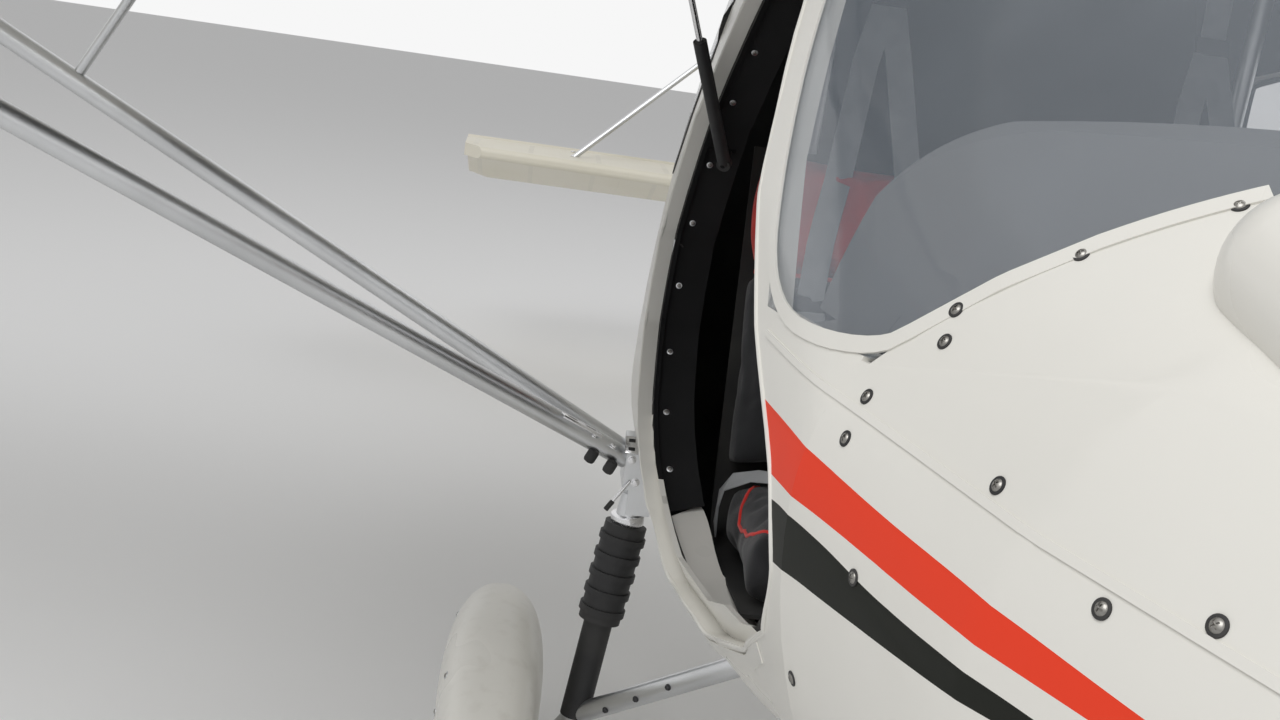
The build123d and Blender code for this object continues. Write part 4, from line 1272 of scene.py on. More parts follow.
@dataclass
class Undercarriage(Assembly):
    """Main and nose gear: strut fittings, pins, bolts, collars and tyre treads."""

    fitting: Point = (0.622, 2.305, 0.728)
    strut_bolts: tuple[Point, ...] = ((0.672, 2.300, 0.748), (0.708, 2.296, 0.766))
    leg_line: tuple[Point, Point] = ((0.520, 2.141, 0.399), (0.650, 2.243, 0.262))
    strut_foot: Point = (0.644, 2.330, 0.740)
    strut_run: Point = (2.206, -0.705, 1.140)
    plate_lean: float = math.radians(42.0)
    pin: tuple[Point, Point] = ((0.632, 2.3035, 0.706), (0.661, 2.293, 0.664))
    collar: tuple[Point, Point] = ((0.6245, 2.334, 0.634), (0.6225, 2.334, 0.612))
    rib: float = 0.0040
    rib_sink: float = 0.0042
    hub_face: float = 0.868
    hub_ring: float = 0.042
    hub_bolts: int = 5

    def fittings(self, side: Side) -> None:
        """Bolt the strut fitting, with its plates, black blocks painted in as their slots' shade,
        ring and safety pin.
        """
        x, s, z = self.fitting
        sign = side.value
        b, f = self.bench, self.finishes
        plates = []
        slot_shade_blocks = []
        lean = Matrix.Rotation(self.plate_lean, 4, "X")
        along = (Matrix.Diagonal((sign, 1, 1)) @ Vector(self.strut_run)).normalized()
        across = along.cross(Vector((0.0, 0.0, 1.0))).normalized() * sign
        laid = Matrix((along, across, along.cross(across))).transposed().to_4x4()
        foot = spot(sign * self.strut_foot[0], *self.strut_foot[1:])
        strap = foot + along * 0.105 + Vector((0, -0.012, 0.019))
        for centre, size, turn in (
                (spot(sign * (x - 0.010), s - 0.002, z + 0.046), (0.022, 0.036, 0.004), lean),
                (spot(sign * (x + 0.016), s - 0.002, z + 0.046), (0.024, 0.036, 0.004), lean),
                (strap, (0.086, 0.026, 0.006), laid)):
            plates.append(b.block("plate", centre, size, 0.0012, turn))
            runs_on = size[0] > size[1]
            # The plates are not cut: each slot is a black block set through its plate, painted
            # shade for the slot's hollow.
            hole = (0.022, 0.009, 0.0066) if runs_on else (size[0] * 0.52, 0.0075, 0.0048)
            for shift in (-0.24, 0.24):
                off = (size[0] * shift, 0, 0) if runs_on else (0, size[1] * shift, 0)
                slot_shade_blocks.append(b.block("slot", centre + turn @ Vector(off), hole, 0.0010, turn))
        self.keep(b.joined("fitting_plates_" + side.word, plates), f.bright, "alloy")
        # Black blocks in place of the slots: painted shade, not holes.
        self.keep(b.joined("fitting_slots_" + side.word, slot_shade_blocks), f.rubber, "bellows_black")
        ahead = Vector((0.0, -1.0, 0.0))
        faces = [spot(sign * (x - 0.014), s, z + 0.018), spot(sign * (x + 0.012), s, z + 0.018),
                 spot(sign * x, s, z - 0.024)]
        bolts = b.copies("fitting_bolts_" + side.word, self.bolt(),
                         [standing(place, ahead, 0.4) for place in faces])
        self.keep(bolts, f.bright, "alloy")
        knobs = [standing(spot(sign * bx, bs, bz - 0.019), Vector((sign * 0.4, 0.0, -0.9)))
                 for bx, bs, bz in self.strut_bolts]
        ends = b.copies("strut_bolt_ends_" + side.word,
                        b.barrel("end", Vector((0, 0, -0.014)), Vector((0, 0, 0.012)), 0.0105, 28,
                                 0.005), knobs)
        self.keep(ends, f.rubber, "bellows_black")
        shanks = b.copies("strut_bolt_heads_" + side.word, self.bolt(0.006, 0.005),
                          [standing(spot(sign * bx, bs, bz + 0.019), Vector((-sign * 0.4, 0, 0.9)))
                           for bx, bs, bz in self.strut_bolts])
        self.keep(shanks, f.bright, "alloy")
        start, tip = (spot(sign * px, ps, pz) for px, ps, pz in self.pin)
        pin = b.barrel("safety_pin_" + side.word, start, tip, 0.0030, 16)
        self.keep(pin, f.bright, "alloy")
        cap = b.barrel("safety_pin_cap_" + side.word, start.lerp(tip, 0.9),
                       start.lerp(tip, 1.3), 0.0048, 16, 0.0015)
        self.keep(cap, f.rubber, "bellows_black")
        ends_at = [spot(sign * cx, cs, cz) for cx, cs, cz in self.collar]
        ring = b.barrel("leg_collar_" + side.word, *ends_at, 0.031, 36, 0.003)
        self.keep(ring, f.bright, "alloy")

    def lower_leg(self, side: Side) -> None:
        """Bolt the lower tube along its length."""
        legs = self.skin("gear_" + side.word)
        a, c = (spot(side.value * x, s, z) for x, s, z in self.leg_line)
        marks = []
        for share in (0.05, 0.42, 0.78):
            hit = legs.touch(a.lerp(c, share) + Vector((0, -0.2, 0.02)), Vector((0, 1, -0.1)))
            if hit:
                marks.append(standing(*hit))
        if marks:
            bolts = self.bench.copies("leg_bolts_" + side.word, self.bolt(0.0048, 0.0045), marks)
            self.keep(bolts, self.finishes.dark_metal, "dark_steel")

    def tread(self, wheel: str, centre: Point, radius: float, width: float,
              shifts: Sequence[float]) -> None:
        """Lay tread ribs round a tyre.

        Args:
            wheel: Body of the wheel.
            centre: Offset, station and height of its middle.
            radius: Radius of the tyre.
            width: Width of the tyre.
            shifts: Places of the ribs over the width.
        """
        b = self.bench
        middle = spot(*centre)
        ribs = []
        for shift in shifts:
            bpy.ops.mesh.primitive_torus_add(major_segments=48, minor_segments=4,
                                             major_radius=radius - self.rib_sink,
                                             minor_radius=self.rib)
            rib = bpy.context.object
            rib.matrix_world = (Matrix.Translation(middle + Vector((shift * width, 0, 0)))
                                @ Matrix.Rotation(math.pi / 2, 4, "Y")
                                @ Matrix.Diagonal((1, 1, width * 0.11 / (2 * self.rib), 1)))
            b.fix(rib)
            b.smooth(rib)
            ribs.append(rib)
        self.keep(b.joined(wheel + "_tread", ribs), self.finishes.tyre, "tyre_rubber", wheel)

    def hub(self, side: Side, wheel: str) -> None:
        """Bolt a main wheel's hub.

        Args:
            side: Side of the wheel.
            wheel: Body of the wheel.
        """
        face = spot(side.value * self.hub_face, *MAIN_WHEEL[1:])
        way = Vector((side.value, 0, 0))
        bolts = []
        for k in range(self.hub_bolts):
            turn = 2 * math.pi * k / self.hub_bolts
            place = face + Vector((0, math.cos(turn), math.sin(turn))) * self.hub_ring
            bolts.append(standing(place, way, turn))
        ring = self.bench.copies(wheel + "_hub_bolts", self.bolt(0.0045, 0.0045), bolts)
        self.keep(ring, self.finishes.bright, "alloy", wheel)

    def build(self) -> None:
        """Make everything on the gear."""
        f = self.finishes
        for side in Side:
            self.fittings(side)
            self.lower_leg(side)
            x, s, z = MAIN_WHEEL
            wheel = "wheel_" + side.word
            self.tread(wheel, (side.value * x, s, z), z, 0.100, (-0.2, 0.0, 0.2))
            self.hub(side, wheel)
        self.tread("nose_wheel", NOSE_WHEEL, NOSE_WHEEL[2], 0.090, (-0.12, 0.12))
        self.paint(f.alloy, "gear_left", "gear_right", "lift_struts_left", "lift_struts_right",
                   "jury_struts", "nose_leg", "nose_fork", "rim_left", "rim_right", "nose_rim")
        self.paint(f.tyre, "tyre_left", "tyre_right", "nose_tyre")
        self.paint(f.bright, "stay_rod_left", "stay_rod_right")
        self.paint(f.rubber, "stay_tube_left", "stay_tube_right")
        for side in Side:
            self.renew("shock_" + side.word, f.rubber, "bellows_black", degrees=50.0)


@dataclass
class Cabin(Assembly):
    """Instrument panel, controls, pedals, floor and tube frame."""

    face_foot: tuple[float, float] = (1.2915, 1.010)
    face_rise: tuple[float, float] = (0.0400, 0.230)
    large: float = 0.0400
    small: float = 0.0280
    pedal_bar: tuple[float, float] = (1.215, 0.640)
    pedals: tuple[float, ...] = (-0.320, -0.170, 0.170, 0.320)
    mat: float = 0.290
    mat_at: Point = (0.225, 1.620, 0.5435)
    units: tuple[tuple[float, float], ...] = ((0.76, 0.050), (0.46, 0.042))
    units_x: float = -0.150

    def on_face(self, x: float, share: float, turn: float = 0.0, size: float = 1.0) -> Matrix:
        """Place on the panel's face, with Z away from it and Y up it.

        Args:
            x: Offset across the panel.
            share: Height from 0 at its lower edge to 1 at its upper one.
            turn: Turn about the face's normal, clockwise as the pilot sees it.
            size: Scale.

        Returns:
            The matrix.
        """
        rise = Vector((0.0, *self.face_rise)).normalized()
        across = Vector((1.0, 0.0, 0.0))
        frame = Matrix((across, rise, across.cross(rise))).transposed().to_4x4()
        place = spot(x, self.face_foot[0] + self.face_rise[0] * share,
                     self.face_foot[1] + self.face_rise[1] * share)
        flip = Matrix.Rotation(math.pi, 4, "Y")
        return (Matrix.Translation(place) @ frame @ flip @ Matrix.Rotation(-turn, 4, "Z")
                @ Matrix.Scale(size, 4))

    def dials(self) -> None:
        """Fit the round instruments with bezels, ticks, needles and screws."""
        b, f = self.bench, self.finishes
        spots = [(x, y, self.large, turn) for x, y, turn in (
            (0.430, 0.74, 2.2), (0.330, 0.74, 0.4), (0.230, 0.74, -0.9),
            (0.430, 0.33, -2.0), (0.330, 0.33, 1.1), (0.230, 0.33, 0.2))]
        spots += [(x, y, self.small, turn) for x, y, turn in (
            (0.135, 0.80, 0.9), (0.135, 0.52, -0.7), (0.065, 0.80, 1.9), (0.065, 0.52, -2.2),
            (-0.330, 0.75, 0.6), (-0.400, 0.75, -1.1), (-0.470, 0.75, 2.0))]
        level = [self.on_face(x, y, 0.0, r / self.large) for x, y, r, _ in spots]
        turned = [self.on_face(x, y, turn, r / self.large) for x, y, r, turn in spots]
        r = self.large
        out = Vector((0, 0, 1))
        bezel = b.barrel("bezel", Vector(), out * 0.0075, r, 48, 0.0014, bore=r * 0.86)
        self.keep(b.copies("dial_bezels", bezel, level), f.panel, "panel_grey")
        face = b.barrel("face", Vector(), out * 0.0022, r * 0.88, 48)
        self.keep(b.copies("dial_faces", face, level), f.dial, "floor_black")
        ticks = []
        for k in range(1, 12):
            turn = Matrix.Rotation(2 * math.pi * k / 12, 4, "Z")
            long = 0.0085 if k % 3 == 0 else 0.0050
            ticks.append(b.block("tick", turn @ Vector((0, -r * 0.80 + long / 2, 0.0024)),
                                 (0.0013, long, 0.0008), 0.0001, turn))
        self.keep(b.copies("dial_ticks", b.joined("ticks", ticks), level), f.mark, "shell_white")
        needle = b.block("needle", Vector((0, r * 0.24, 0.0040)), (0.0020, r * 0.86, 0.0009),
                         0.0003)
        self.keep(b.copies("dial_needles", needle, turned), f.mark, "shell_white")
        cap = b.barrel("cap", out * 0.002, out * 0.0055, r * 0.10, 24, 0.0006)
        self.keep(b.copies("dial_caps", cap, level), f.rubber, "bellows_black")
        corner = r * 0.78
        holds = [m @ Matrix.Translation((dx * corner, dy * corner, 0.0))
                 for m in level for dx in (-1, 1) for dy in (-1, 1)]
        self.keep(b.copies("dial_screws", self.screw(0.0028), holds), f.screw, "dark_steel")

    def switches(self) -> None:
        """Fit switches, fuse caps, lamps and the two blank-faced units."""
        b, f = self.bench, self.finishes
        out = Vector((0, 0, 1))
        row = [self.on_face(-0.060 - 0.028 * k, 0.20) for k in range(7)]
        base = b.barrel("base", Vector(), out * 0.004, 0.0072, 6, 0.0005)
        self.keep(b.copies("switch_bases", base, row), f.bright, "alloy")
        lever = b.barrel("lever", Vector((0, 0, 0.002)), Vector((0, 0.010, 0.018)), 0.0026, 16,
                         0.0010)
        self.keep(b.copies("switch_levers", lever, row), f.bright, "alloy")
        fuses = [self.on_face(-0.300 - 0.026 * k, y) for k in range(8) for y in (0.16, 0.36)]
        fuse = b.barrel("fuse", Vector(), out * 0.009, 0.0078, 24, 0.0012)
        self.keep(b.copies("fuse_caps", fuse, fuses), f.rubber, "bellows_black")
        for name, finish, places in (("red", f.red_lamp, ((0.020, 0.88), (-0.270, 0.86))),
                                     ("green", f.green_lamp, ((-0.005, 0.88),))):
            lamp = b.ball("lamp", Vector((0, 0, 0.003)), 0.0052)
            spots = [self.on_face(x, y) for x, y in places]
            self.keep(b.copies("warning_lamps_" + name, lamp, spots), finish, "clear_panel")
        units = []
        knobs = []
        for y, high in self.units:
            units.append(b.block("unit", Vector((0, 0, 0.004)), (0.160, high, 0.012), 0.002))
            units[-1].matrix_world = self.on_face(self.units_x, y)
            b.fix(units[-1])
            knobs += [self.on_face(self.units_x + dx, y) @ Matrix.Translation((0, 0, 0.009))
                      for dx in (-0.066, 0.066)]
        self.keep(b.joined("stacked_units", units), f.panel, "panel_grey")
        windows = [self.on_face(self.units_x, y) for y, _ in self.units]
        window = b.block("window", Vector((0, 0.004, 0.0095)), (0.088, 0.018, 0.003), 0.0008)
        self.keep(b.copies("unit_windows", window, windows), f.dial, "floor_black")
        knob = b.barrel("knob", Vector(), out * 0.014, 0.0082, 24, 0.0016)
        self.keep(b.copies("unit_knobs", knob, knobs), f.rubber, "bellows_black")

    def controls(self) -> None:
        """Fit the throttle, the stick's boot and button, and the rudder pedals."""
        b, f = self.bench, self.finishes
        for name, x, long, radius, finish in (("throttle", 0.020, 0.085, 0.017, f.rubber),
                                              ("choke", -0.030, 0.045, 0.011, f.red_lamp)):
            place = self.on_face(x, 0.14)
            rod = b.barrel(name + "_rod", Vector(), Vector((0, 0, long)), 0.0042, 20)
            rod.matrix_world = place
            b.fix(rod)
            self.keep(rod, f.bright, "alloy")
            knob = b.barrel(name + "_knob", Vector((0, 0, long)), Vector((0, 0, long + 0.020)),
                            radius, 32, 0.004)
            knob.matrix_world = place
            b.fix(knob)
            self.keep(knob, finish, "floor_black")
        low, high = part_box("control_stick")
        top = Vector(((low[0] + high[0]) / 2, (low[1] + high[1]) / 2, high[2]))
        button = b.barrel("stick_button", top - Vector((0, 0, 0.004)),
                          top + Vector((0, 0, 0.005)), 0.0070, 20, 0.0015)
        self.keep(button, f.red_lamp, "floor_black")
        foot = Vector((top.x, (low[1] + high[1]) / 2, low[2]))
        pleats = [b.barrel("pleat", foot + Vector((0, 0, 0.012 * k)),
                           foot + Vector((0, 0, 0.012 * k + 0.010)), 0.052 - 0.0075 * k, 32,
                           0.004) for k in range(5)]
        self.keep(b.joined("stick_boot", pleats), f.rubber, "bellows_black")
        s, z = self.pedal_bar
        bars = [b.barrel("bar", spot(-0.370, s, z), spot(0.370, s, z), 0.011, 24, 0.002)]
        pads = []
        for x in self.pedals:
            bars.append(b.barrel("arm", spot(x, s, z), spot(x, s + 0.050, z + 0.135), 0.008, 16,
                                 0.001))
            lean = Matrix.Rotation(math.radians(-20.0), 4, "X")
            pads.append(b.block("pad", spot(x, s + 0.055, z + 0.140), (0.085, 0.010, 0.070),
                                0.003, lean))
            for k in (-1, 0, 1):
                pads.append(b.block("grip", spot(x, s + 0.062, z + 0.142 + 0.019 * k),
                                    (0.078, 0.006, 0.007), 0.002, lean))
        self.keep(b.joined("pedal_frame", bars), f.alloy, "alloy")
        self.keep(b.joined("pedal_pads", pads), f.rubber, "bellows_black")

    def floor(self) -> None:
        """Lay the carpets, their edging and the tunnel's screws."""
        b, f = self.bench, self.finishes
        mats = []
        edges = []
        across, s, z = self.mat_at
        for side in Side:
            x = side.value * across
            mats.append(b.block("mat", spot(x, s, z), (self.mat, self.mat, 0.007), 0.003))
            ring = [spot(x + dx * 0.142, s + ds * 0.142, z + 0.004)
                    for dx, ds in ((-1, -1), (1, -1), (1, 1), (-1, 1))]
            edges.append(b.tube("edge", ring, 0.0025, closed=True))
        self.keep(b.joined("floor_mats", mats), f.black_cloth, "floor_black")
        self.keep(b.joined("floor_mat_edges", edges), f.rubber, "bellows_black")
        tube = self.skin("centre_tube")
        marks = [tube.under(x, 1.30 + 0.15 * k, True) for x in (-0.046, 0.046) for k in range(10)]
        self.screws("tunnel_screws", marks, radius=0.0036, dark_washer=False)

    def frame(self) -> None:
        """Wrap the frame's tube ends in clamps and pad its overhead side tubes."""
        b, f = self.bench, self.finishes
        pads = []
        clamps = []
        for side in Side:
            a = spot(side.value * 0.4475, 1.800, 1.775)
            c = spot(side.value * 0.4310, 2.600, 1.775)
            pads.append(b.barrel("pad", a.lerp(c, 0.10), a.lerp(c, 0.72), 0.0205, 28, 0.004))
            for share in (0.03, 0.80, 0.97):
                clamps.append(b.barrel("clamp", a.lerp(c, share), a.lerp(c, share + 0.016),
                                       0.0190, 28, 0.001))
            for z in (0.62, 1.15, 1.70):
                clamps.append(b.barrel("clamp", spot(side.value * 0.385, 2.460, z),
                                       spot(side.value * 0.385, 2.460, z + 0.014), 0.0192, 28,
                                       0.001))
        self.keep(b.joined("frame_pads", pads), f.rubber, "bellows_black")
        self.keep(b.joined("frame_clamps", clamps), f.bright, "alloy")

    def build(self) -> None:
        """Make everything in the cabin."""
        f = self.finishes
        self.dials()
        self.switches()
        self.controls()
        self.floor()
        self.frame()
        self.paint(f.alloy, "centre_tube", "cabin_frame", "firewall")
        self.paint(f.floor, "cabin_floor", "seat_pan", "rear_bulkhead")
        self.paint(f.shield, "instrument_panel")
        self.paint(f.rubber, "control_stick")


@dataclass
class Doors(Assembly):
    """Fittings that ride on the doors, made on the left one and handed to the right."""

    handle: tuple[float, float] = (2.190, 0.985)
    hinges: tuple[float, ...] = (1.780, 1.930, 2.060)

    def hand(self, piece: Piece, material: bpy.types.Material, slot: str) -> None:
        """Keep a left door's piece and its twin on the right door, which stands open.

        Args:
            piece: Piece made on the shut left door.
            material: Its material.
            slot: Material slot of the record.
        """
        twin = self.bench.mirrored(piece, piece.name + "_right")
        twin.matrix_world = swung(DOOR_SWING)
        self.bench.fix(twin)
        self.bench.named(piece, piece.name + "_left")
        self.keep(piece, material, slot, "door_left_body")
        self.keep(twin, material, slot, "door_right_body")

    def build(self) -> None:
        """Make the window edgings, handles, inner pulls, hinge plates and screws."""
        b, f = self.bench, self.finishes
        skin = self.skin("door_left", "door_glass_left")
        line = self.ringed(skin, DOOR_WINDOW, Side.LEFT)
        self.hand(b.band("door_window_edging", line, 0.016, 0.0024, 0.0006), f.rubber,
                  "bellows_black")
        marks = line[:-1:max(1, len(line) // 18)]
        shell = self.skin("door_left")
        places = [standing(p + n * 0.0016, n, 0.5 * k) for k, (p, n) in enumerate(marks)]
        self.hand(b.copies("door_window_screws", self.screw(0.0040), places), f.screw,
                  "dark_steel")
        at = shell.beside(Side.LEFT, *self.handle)
        if at:
            place, normal = at
            plate = b.barrel("plate", place - normal * 0.0004, place + normal * 0.0024, 0.026, 40,
                             0.0008)
            root = b.barrel("root", place, place + normal * 0.018, 0.0095, 28, 0.002)
            lever = b.block("lever", place + normal * 0.019 + Vector((0, -0.045, 0.004)),
                            (0.010, 0.112, 0.021), 0.004)
            self.hand(b.joined("door_handle", [plate, root, lever]), f.dark_metal, "dark_steel")
            pull = place - normal * 0.045
            strap = b.tube("door_pull", [pull + Vector((0, -0.070, 0)),
                                         pull + Vector((-0.026, -0.050, 0)),
                                         pull + Vector((-0.026, 0.030, 0)),
                                         pull + Vector((0, 0.050, 0))], 0.0065)
            self.hand(strap, f.rubber, "bellows_black")
        plates = []
        for s in self.hinges:
            hit = shell.touch(spot(0.500, s, 1.790), Vector((1, 0, 0)))
            up = shell.beside(Side.LEFT, s, 1.812)
            if hit or up:
                place, normal = up or hit
                plates.append(b.block("hinge", place + normal * 0.0016, (0.003, 0.052, 0.030),
                                      0.001))
        if plates:
            self.hand(b.joined("door_hinges", plates), f.bright, "alloy")


@dataclass
class Seats(Assembly):
    """Two seats with padded backs and cushions, red piping and harnesses."""

    middle: float = 0.295
    width: float = 0.396
    back_foot: tuple[float, float] = (2.143, 0.792)
    lean: float = math.radians(19.65)
    voxel: float = 0.0062
    pressure: float = 4.0
    frames: int = 20
    cap: float = 0.016

    def puff(self, piece: Piece) -> None:
        """Blow a pad up as cloth, hold how far it swells, and smooth it.

        Args:
            piece: Closed mesh of the pad before it is filled.
        """
        self.bench.modify(piece, "REMESH", mode="VOXEL", voxel_size=self.voxel,
                          use_smooth_shade=True)
        rest = [v.co.copy() for v in piece.data.vertices]
        self.bench.only(piece)
        cloth = piece.modifiers.new("filling", "CLOTH")
        cloth.settings.use_pressure = True
        cloth.settings.uniform_pressure_force = self.pressure
        cloth.settings.effector_weights.gravity = 0.0
        cloth.point_cache.frame_start = 1
        cloth.point_cache.frame_end = self.frames
        for frame in range(1, self.frames + 1):
            bpy.context.scene.frame_set(frame)
        bpy.ops.object.modifier_apply(modifier=cloth.name)
        bpy.context.scene.frame_set(1)
        for vert, start in zip(piece.data.vertices, rest):
            moved = vert.co - start
            if moved.length > self.cap:
                vert.co = start + moved * (self.cap / moved.length)
        self.bench.modify(piece, "SMOOTH", factor=0.5, iterations=4)
        self.bench.smooth(piece, 60.0)

    def pad(self, name: str, centre: Vector, size: Point, lean: float, crown: float) -> Piece:
        """Make one filled pad.

        Args:
            name: Name of the pad.
            centre: Its middle.
            size: Width, depth and height before it leans.
            lean: Turn about X.
            crown: Share by which its corners pull in.

        Returns:
            The pad.
        """
        bpy.ops.mesh.primitive_cube_add(size=1.0)
        piece = self.bench.named(bpy.context.object, name)
        self.bench.edit(piece, lambda: bpy.ops.mesh.subdivide(number_cuts=8))
        for vert in piece.data.vertices:
            far = (abs(vert.co.x) * 2) ** 4 + (abs(vert.co.z) * 2) ** 4
            vert.co.x *= 1.0 - crown * (abs(vert.co.z) * 2) ** 4
            vert.co.z *= 1.0 - crown * (abs(vert.co.x) * 2) ** 4
            vert.co.y *= 1.0 - 0.22 * min(1.0, far)
        piece.scale = size
        self.bench.fix(piece)
        self.bench.modify(piece, "BEVEL", width=0.012, segments=3, limit_method="ANGLE",
                          angle_limit=math.radians(40.0))
        piece.matrix_world = Matrix.Translation(centre) @ Matrix.Rotation(lean, 4, "X")
        self.bench.fix(piece)
        self.puff(piece)
        return piece

    def up_back(self, along: float, off: float) -> tuple[float, float]:
        """Station and height at a distance up the back's face and off it, forwards."""
        s, z = self.back_foot
        return (s + along * math.sin(self.lean) - off * math.cos(self.lean),
                z + along * math.cos(self.lean) + off * math.sin(self.lean))

    def masters(self) -> list[tuple[Piece, bpy.types.Material]]:
        """Make one seat's pads on the centre line."""
        f = self.finishes
        w = self.width
        rows = (
            ("seat_cushion", spot(0, 1.957, 0.757), (w, 0.335, 0.092), math.radians(-2.6),
             0.03, f.black_cloth),
            ("seat_back_lower", spot(0, *self.up_back(0.185, -0.030)), (w, 0.072, 0.330),
             -self.lean, 0.02, f.black_cloth),
            ("seat_back_upper", spot(0, *self.up_back(0.460, -0.030)), (w * 0.99, 0.074, 0.215),
             -self.lean, 0.10, f.red_cloth),
        )
        return [(self.pad(name, centre, size, lean, crown), cloth)
                for name, centre, size, lean, crown, cloth in rows]

    def piping(self, name: str, sign: float, pads: Skin) -> None:
        """Sew red piping round the cushion's top edge and across the back."""
        x0 = sign * self.middle
        half = self.width / 2 - 0.014
        ring = [spot(x0 - half, 1.806, 0.9), spot(x0 + half, 1.806, 0.9),
                spot(x0 + half, 2.100, 0.9), spot(x0 - half, 2.100, 0.9)]
        corners: list[Vector] = []
        for index, corner in enumerate(ring):
            before, after = ring[index - 1], ring[(index + 1) % 4]
            corners += [corner.lerp(before, 0.5), corner.lerp(before, 0.2),
                        corner.lerp(after, 0.2)]
        laid = [pads.touch(place, Vector((0, 0, -1))) for place in smoothed(corners, 3, True)]
        cushion = self.bench.tube("piping", [h[0] for h in laid if h], 0.0032, closed=True)
        across = [spot(x0 + half * k / 6, *self.up_back(0.352, 0.010 - 0.016 * (k / 6) ** 4))
                  for k in range(-6, 7)]
        seam = self.bench.tube("piping", across, 0.0040)
        piece = self.bench.joined(name + "_piping", [cushion, seam])
        self.keep(piece, self.finishes.red_cloth, "seat_cloth")

    def tub(self, name: str, sign: float) -> None:
        """Carry the pads in a bent black shell."""
        x0 = sign * self.middle
        corners = [spot(x0, 1.800, 0.704), spot(x0, 2.120, 0.664), spot(x0, 2.196, 0.672),
                   spot(x0, 2.240, 0.780), spot(x0, 2.397, 1.320)]
        line = smoothed(corners, 3, False)
        hits = []
        for k, place in enumerate(line):
            along = line[min(k + 1, len(line) - 1)] - line[max(k - 1, 0)]
            hits.append((place, Vector((0, -along.z, along.y)).normalized()))
        shell = self.bench.band(name + "_shell", hits, self.width, 0.006)
        self.keep(shell, self.finishes.floor, "floor_black")

    def harness(self, side: Side, pads: Skin) -> None:
        """Lay the Y-shaped shoulder straps, the lap straps and the buckle.

        Args:
            side: Side of the seat.
            pads: Surface of the pads.
        """
        x0 = side.value * self.middle
        b = self.bench
        ahead = Vector((0.0, -math.cos(self.lean), math.sin(self.lean)))
        straps = [b.band("strap", [(spot(x0, 2.444, 1.757), Vector((0, -1, 0))),
                                   (spot(x0, 2.440, 1.680), Vector((0, -1, 0))),
                                   (spot(x0, 2.430, 1.600), ahead)], 0.046, 0.0022)]
        for way in (-1.0, 1.0):
            line: list[Hit] = [(spot(x0 + way * 0.004, 2.430, 1.605), ahead),
                               (spot(x0 + way * 0.030, 2.395, 1.490), ahead)]
            for k in range(12):
                reach = 0.535 - 0.475 * k / 11
                x = x0 + way * (0.060 + 0.030 * math.sin(math.pi * k / 11) - 0.045 * (k / 11) ** 3)
                hit = pads.touch(spot(x, *self.up_back(reach, 0.25)), -ahead)
                if hit:
                    line.append((hit[0] + ahead * 0.003, ahead))
            up = Vector((0.0, -0.3, 0.95)).normalized()
            line.append((spot(x0 + way * 0.012, 2.080, 0.846), up))
            line.append((spot(x0 + way * 0.005, 2.040, 0.838), up))
            straps.append(b.band("strap", line, 0.046, 0.0022))
            lap = [(spot(x0 + way * 0.199, 2.135, 0.700), Vector((way, 0, 0.1))),
                   (spot(x0 + way * 0.203, 2.120, 0.760), Vector((way, 0, 0.3))),
                   (spot(x0 + way * 0.196, 2.095, 0.800), Vector((way * 0.7, 0, 0.7))),
                   (spot(x0 + way * 0.160, 2.070, 0.824), Vector((way * 0.3, 0, 1))),
                   (spot(x0 + way * 0.100, 2.048, 0.832), Vector((0, 0, 1))),
                   (spot(x0 + way * 0.020, 2.035, 0.836), Vector((0, 0, 1)))]
            straps.append(b.band("strap", lap, 0.046, 0.0022))
        piece = b.joined("harness_" + side.word, straps)
        self.keep(piece, self.finishes.webbing, "seat_cloth")
        buckle = b.barrel("harness_buckle_" + side.word, spot(x0, 2.036, 0.834),
                          spot(x0, 2.034, 0.856), 0.030, 36, 0.003)
        self.keep(buckle, self.finishes.dark_metal, "dark_steel")
        slider = b.block("harness_joint_" + side.word, spot(x0, 2.428, 1.604),
                         (0.062, 0.008, 0.030), 0.002, Matrix.Rotation(-self.lean, 4, "X"))
        self.keep(slider, self.finishes.dark_metal, "dark_steel")

    def build(self) -> None:
        """Make both seats."""
        made = self.masters()
        for side in Side:
            x0 = side.value * self.middle
            node = "seat_" + side.word
            pads = []
            for master, cloth in made:
                pad = self.bench.named(self.bench.twin(master), f"{master.name}_{side.word}")
                pad.data.transform(Matrix.Translation((x0, 0, 0)))
                self.keep(pad, cloth, "seat_cloth", stands_for=[node])
                pads.append(pad)
            surface = Skin(pad.data for pad in pads)
            self.piping(node, side.value, surface)
            self.tub(node, side.value)
            self.harness(side, surface)
        for master, _ in made:
            bpy.data.objects.remove(master)


# Rows of the wheel covers: station, half width, middle height and half height.
MAIN_SPAT = ((1.880, 0.006, 0.165, 0.016), (1.892, 0.026, 0.168, 0.060),
             (1.930, 0.050, 0.192, 0.090),
             (2.030, 0.076, 0.224, 0.128), (2.160, 0.090, 0.248, 0.154),
             (2.290, 0.095, 0.258, 0.164), (2.420, 0.086, 0.262, 0.146),
             (2.540, 0.058, 0.274, 0.096), (2.625, 0.022, 0.288, 0.040),
             (2.640, 0.006, 0.290, 0.010))
NOSE_SPAT = ((0.540, 0.005, 0.165, 0.012), (0.552, 0.022, 0.168, 0.044),
             (0.590, 0.042, 0.182, 0.076),
             (0.680, 0.066, 0.206, 0.116), (0.790, 0.077, 0.222, 0.140),
             (0.900, 0.080, 0.226, 0.146), (1.020, 0.070, 0.228, 0.122),
             (1.140, 0.044, 0.233, 0.078), (1.225, 0.017, 0.239, 0.034),
             (1.240, 0.005, 0.240, 0.010))


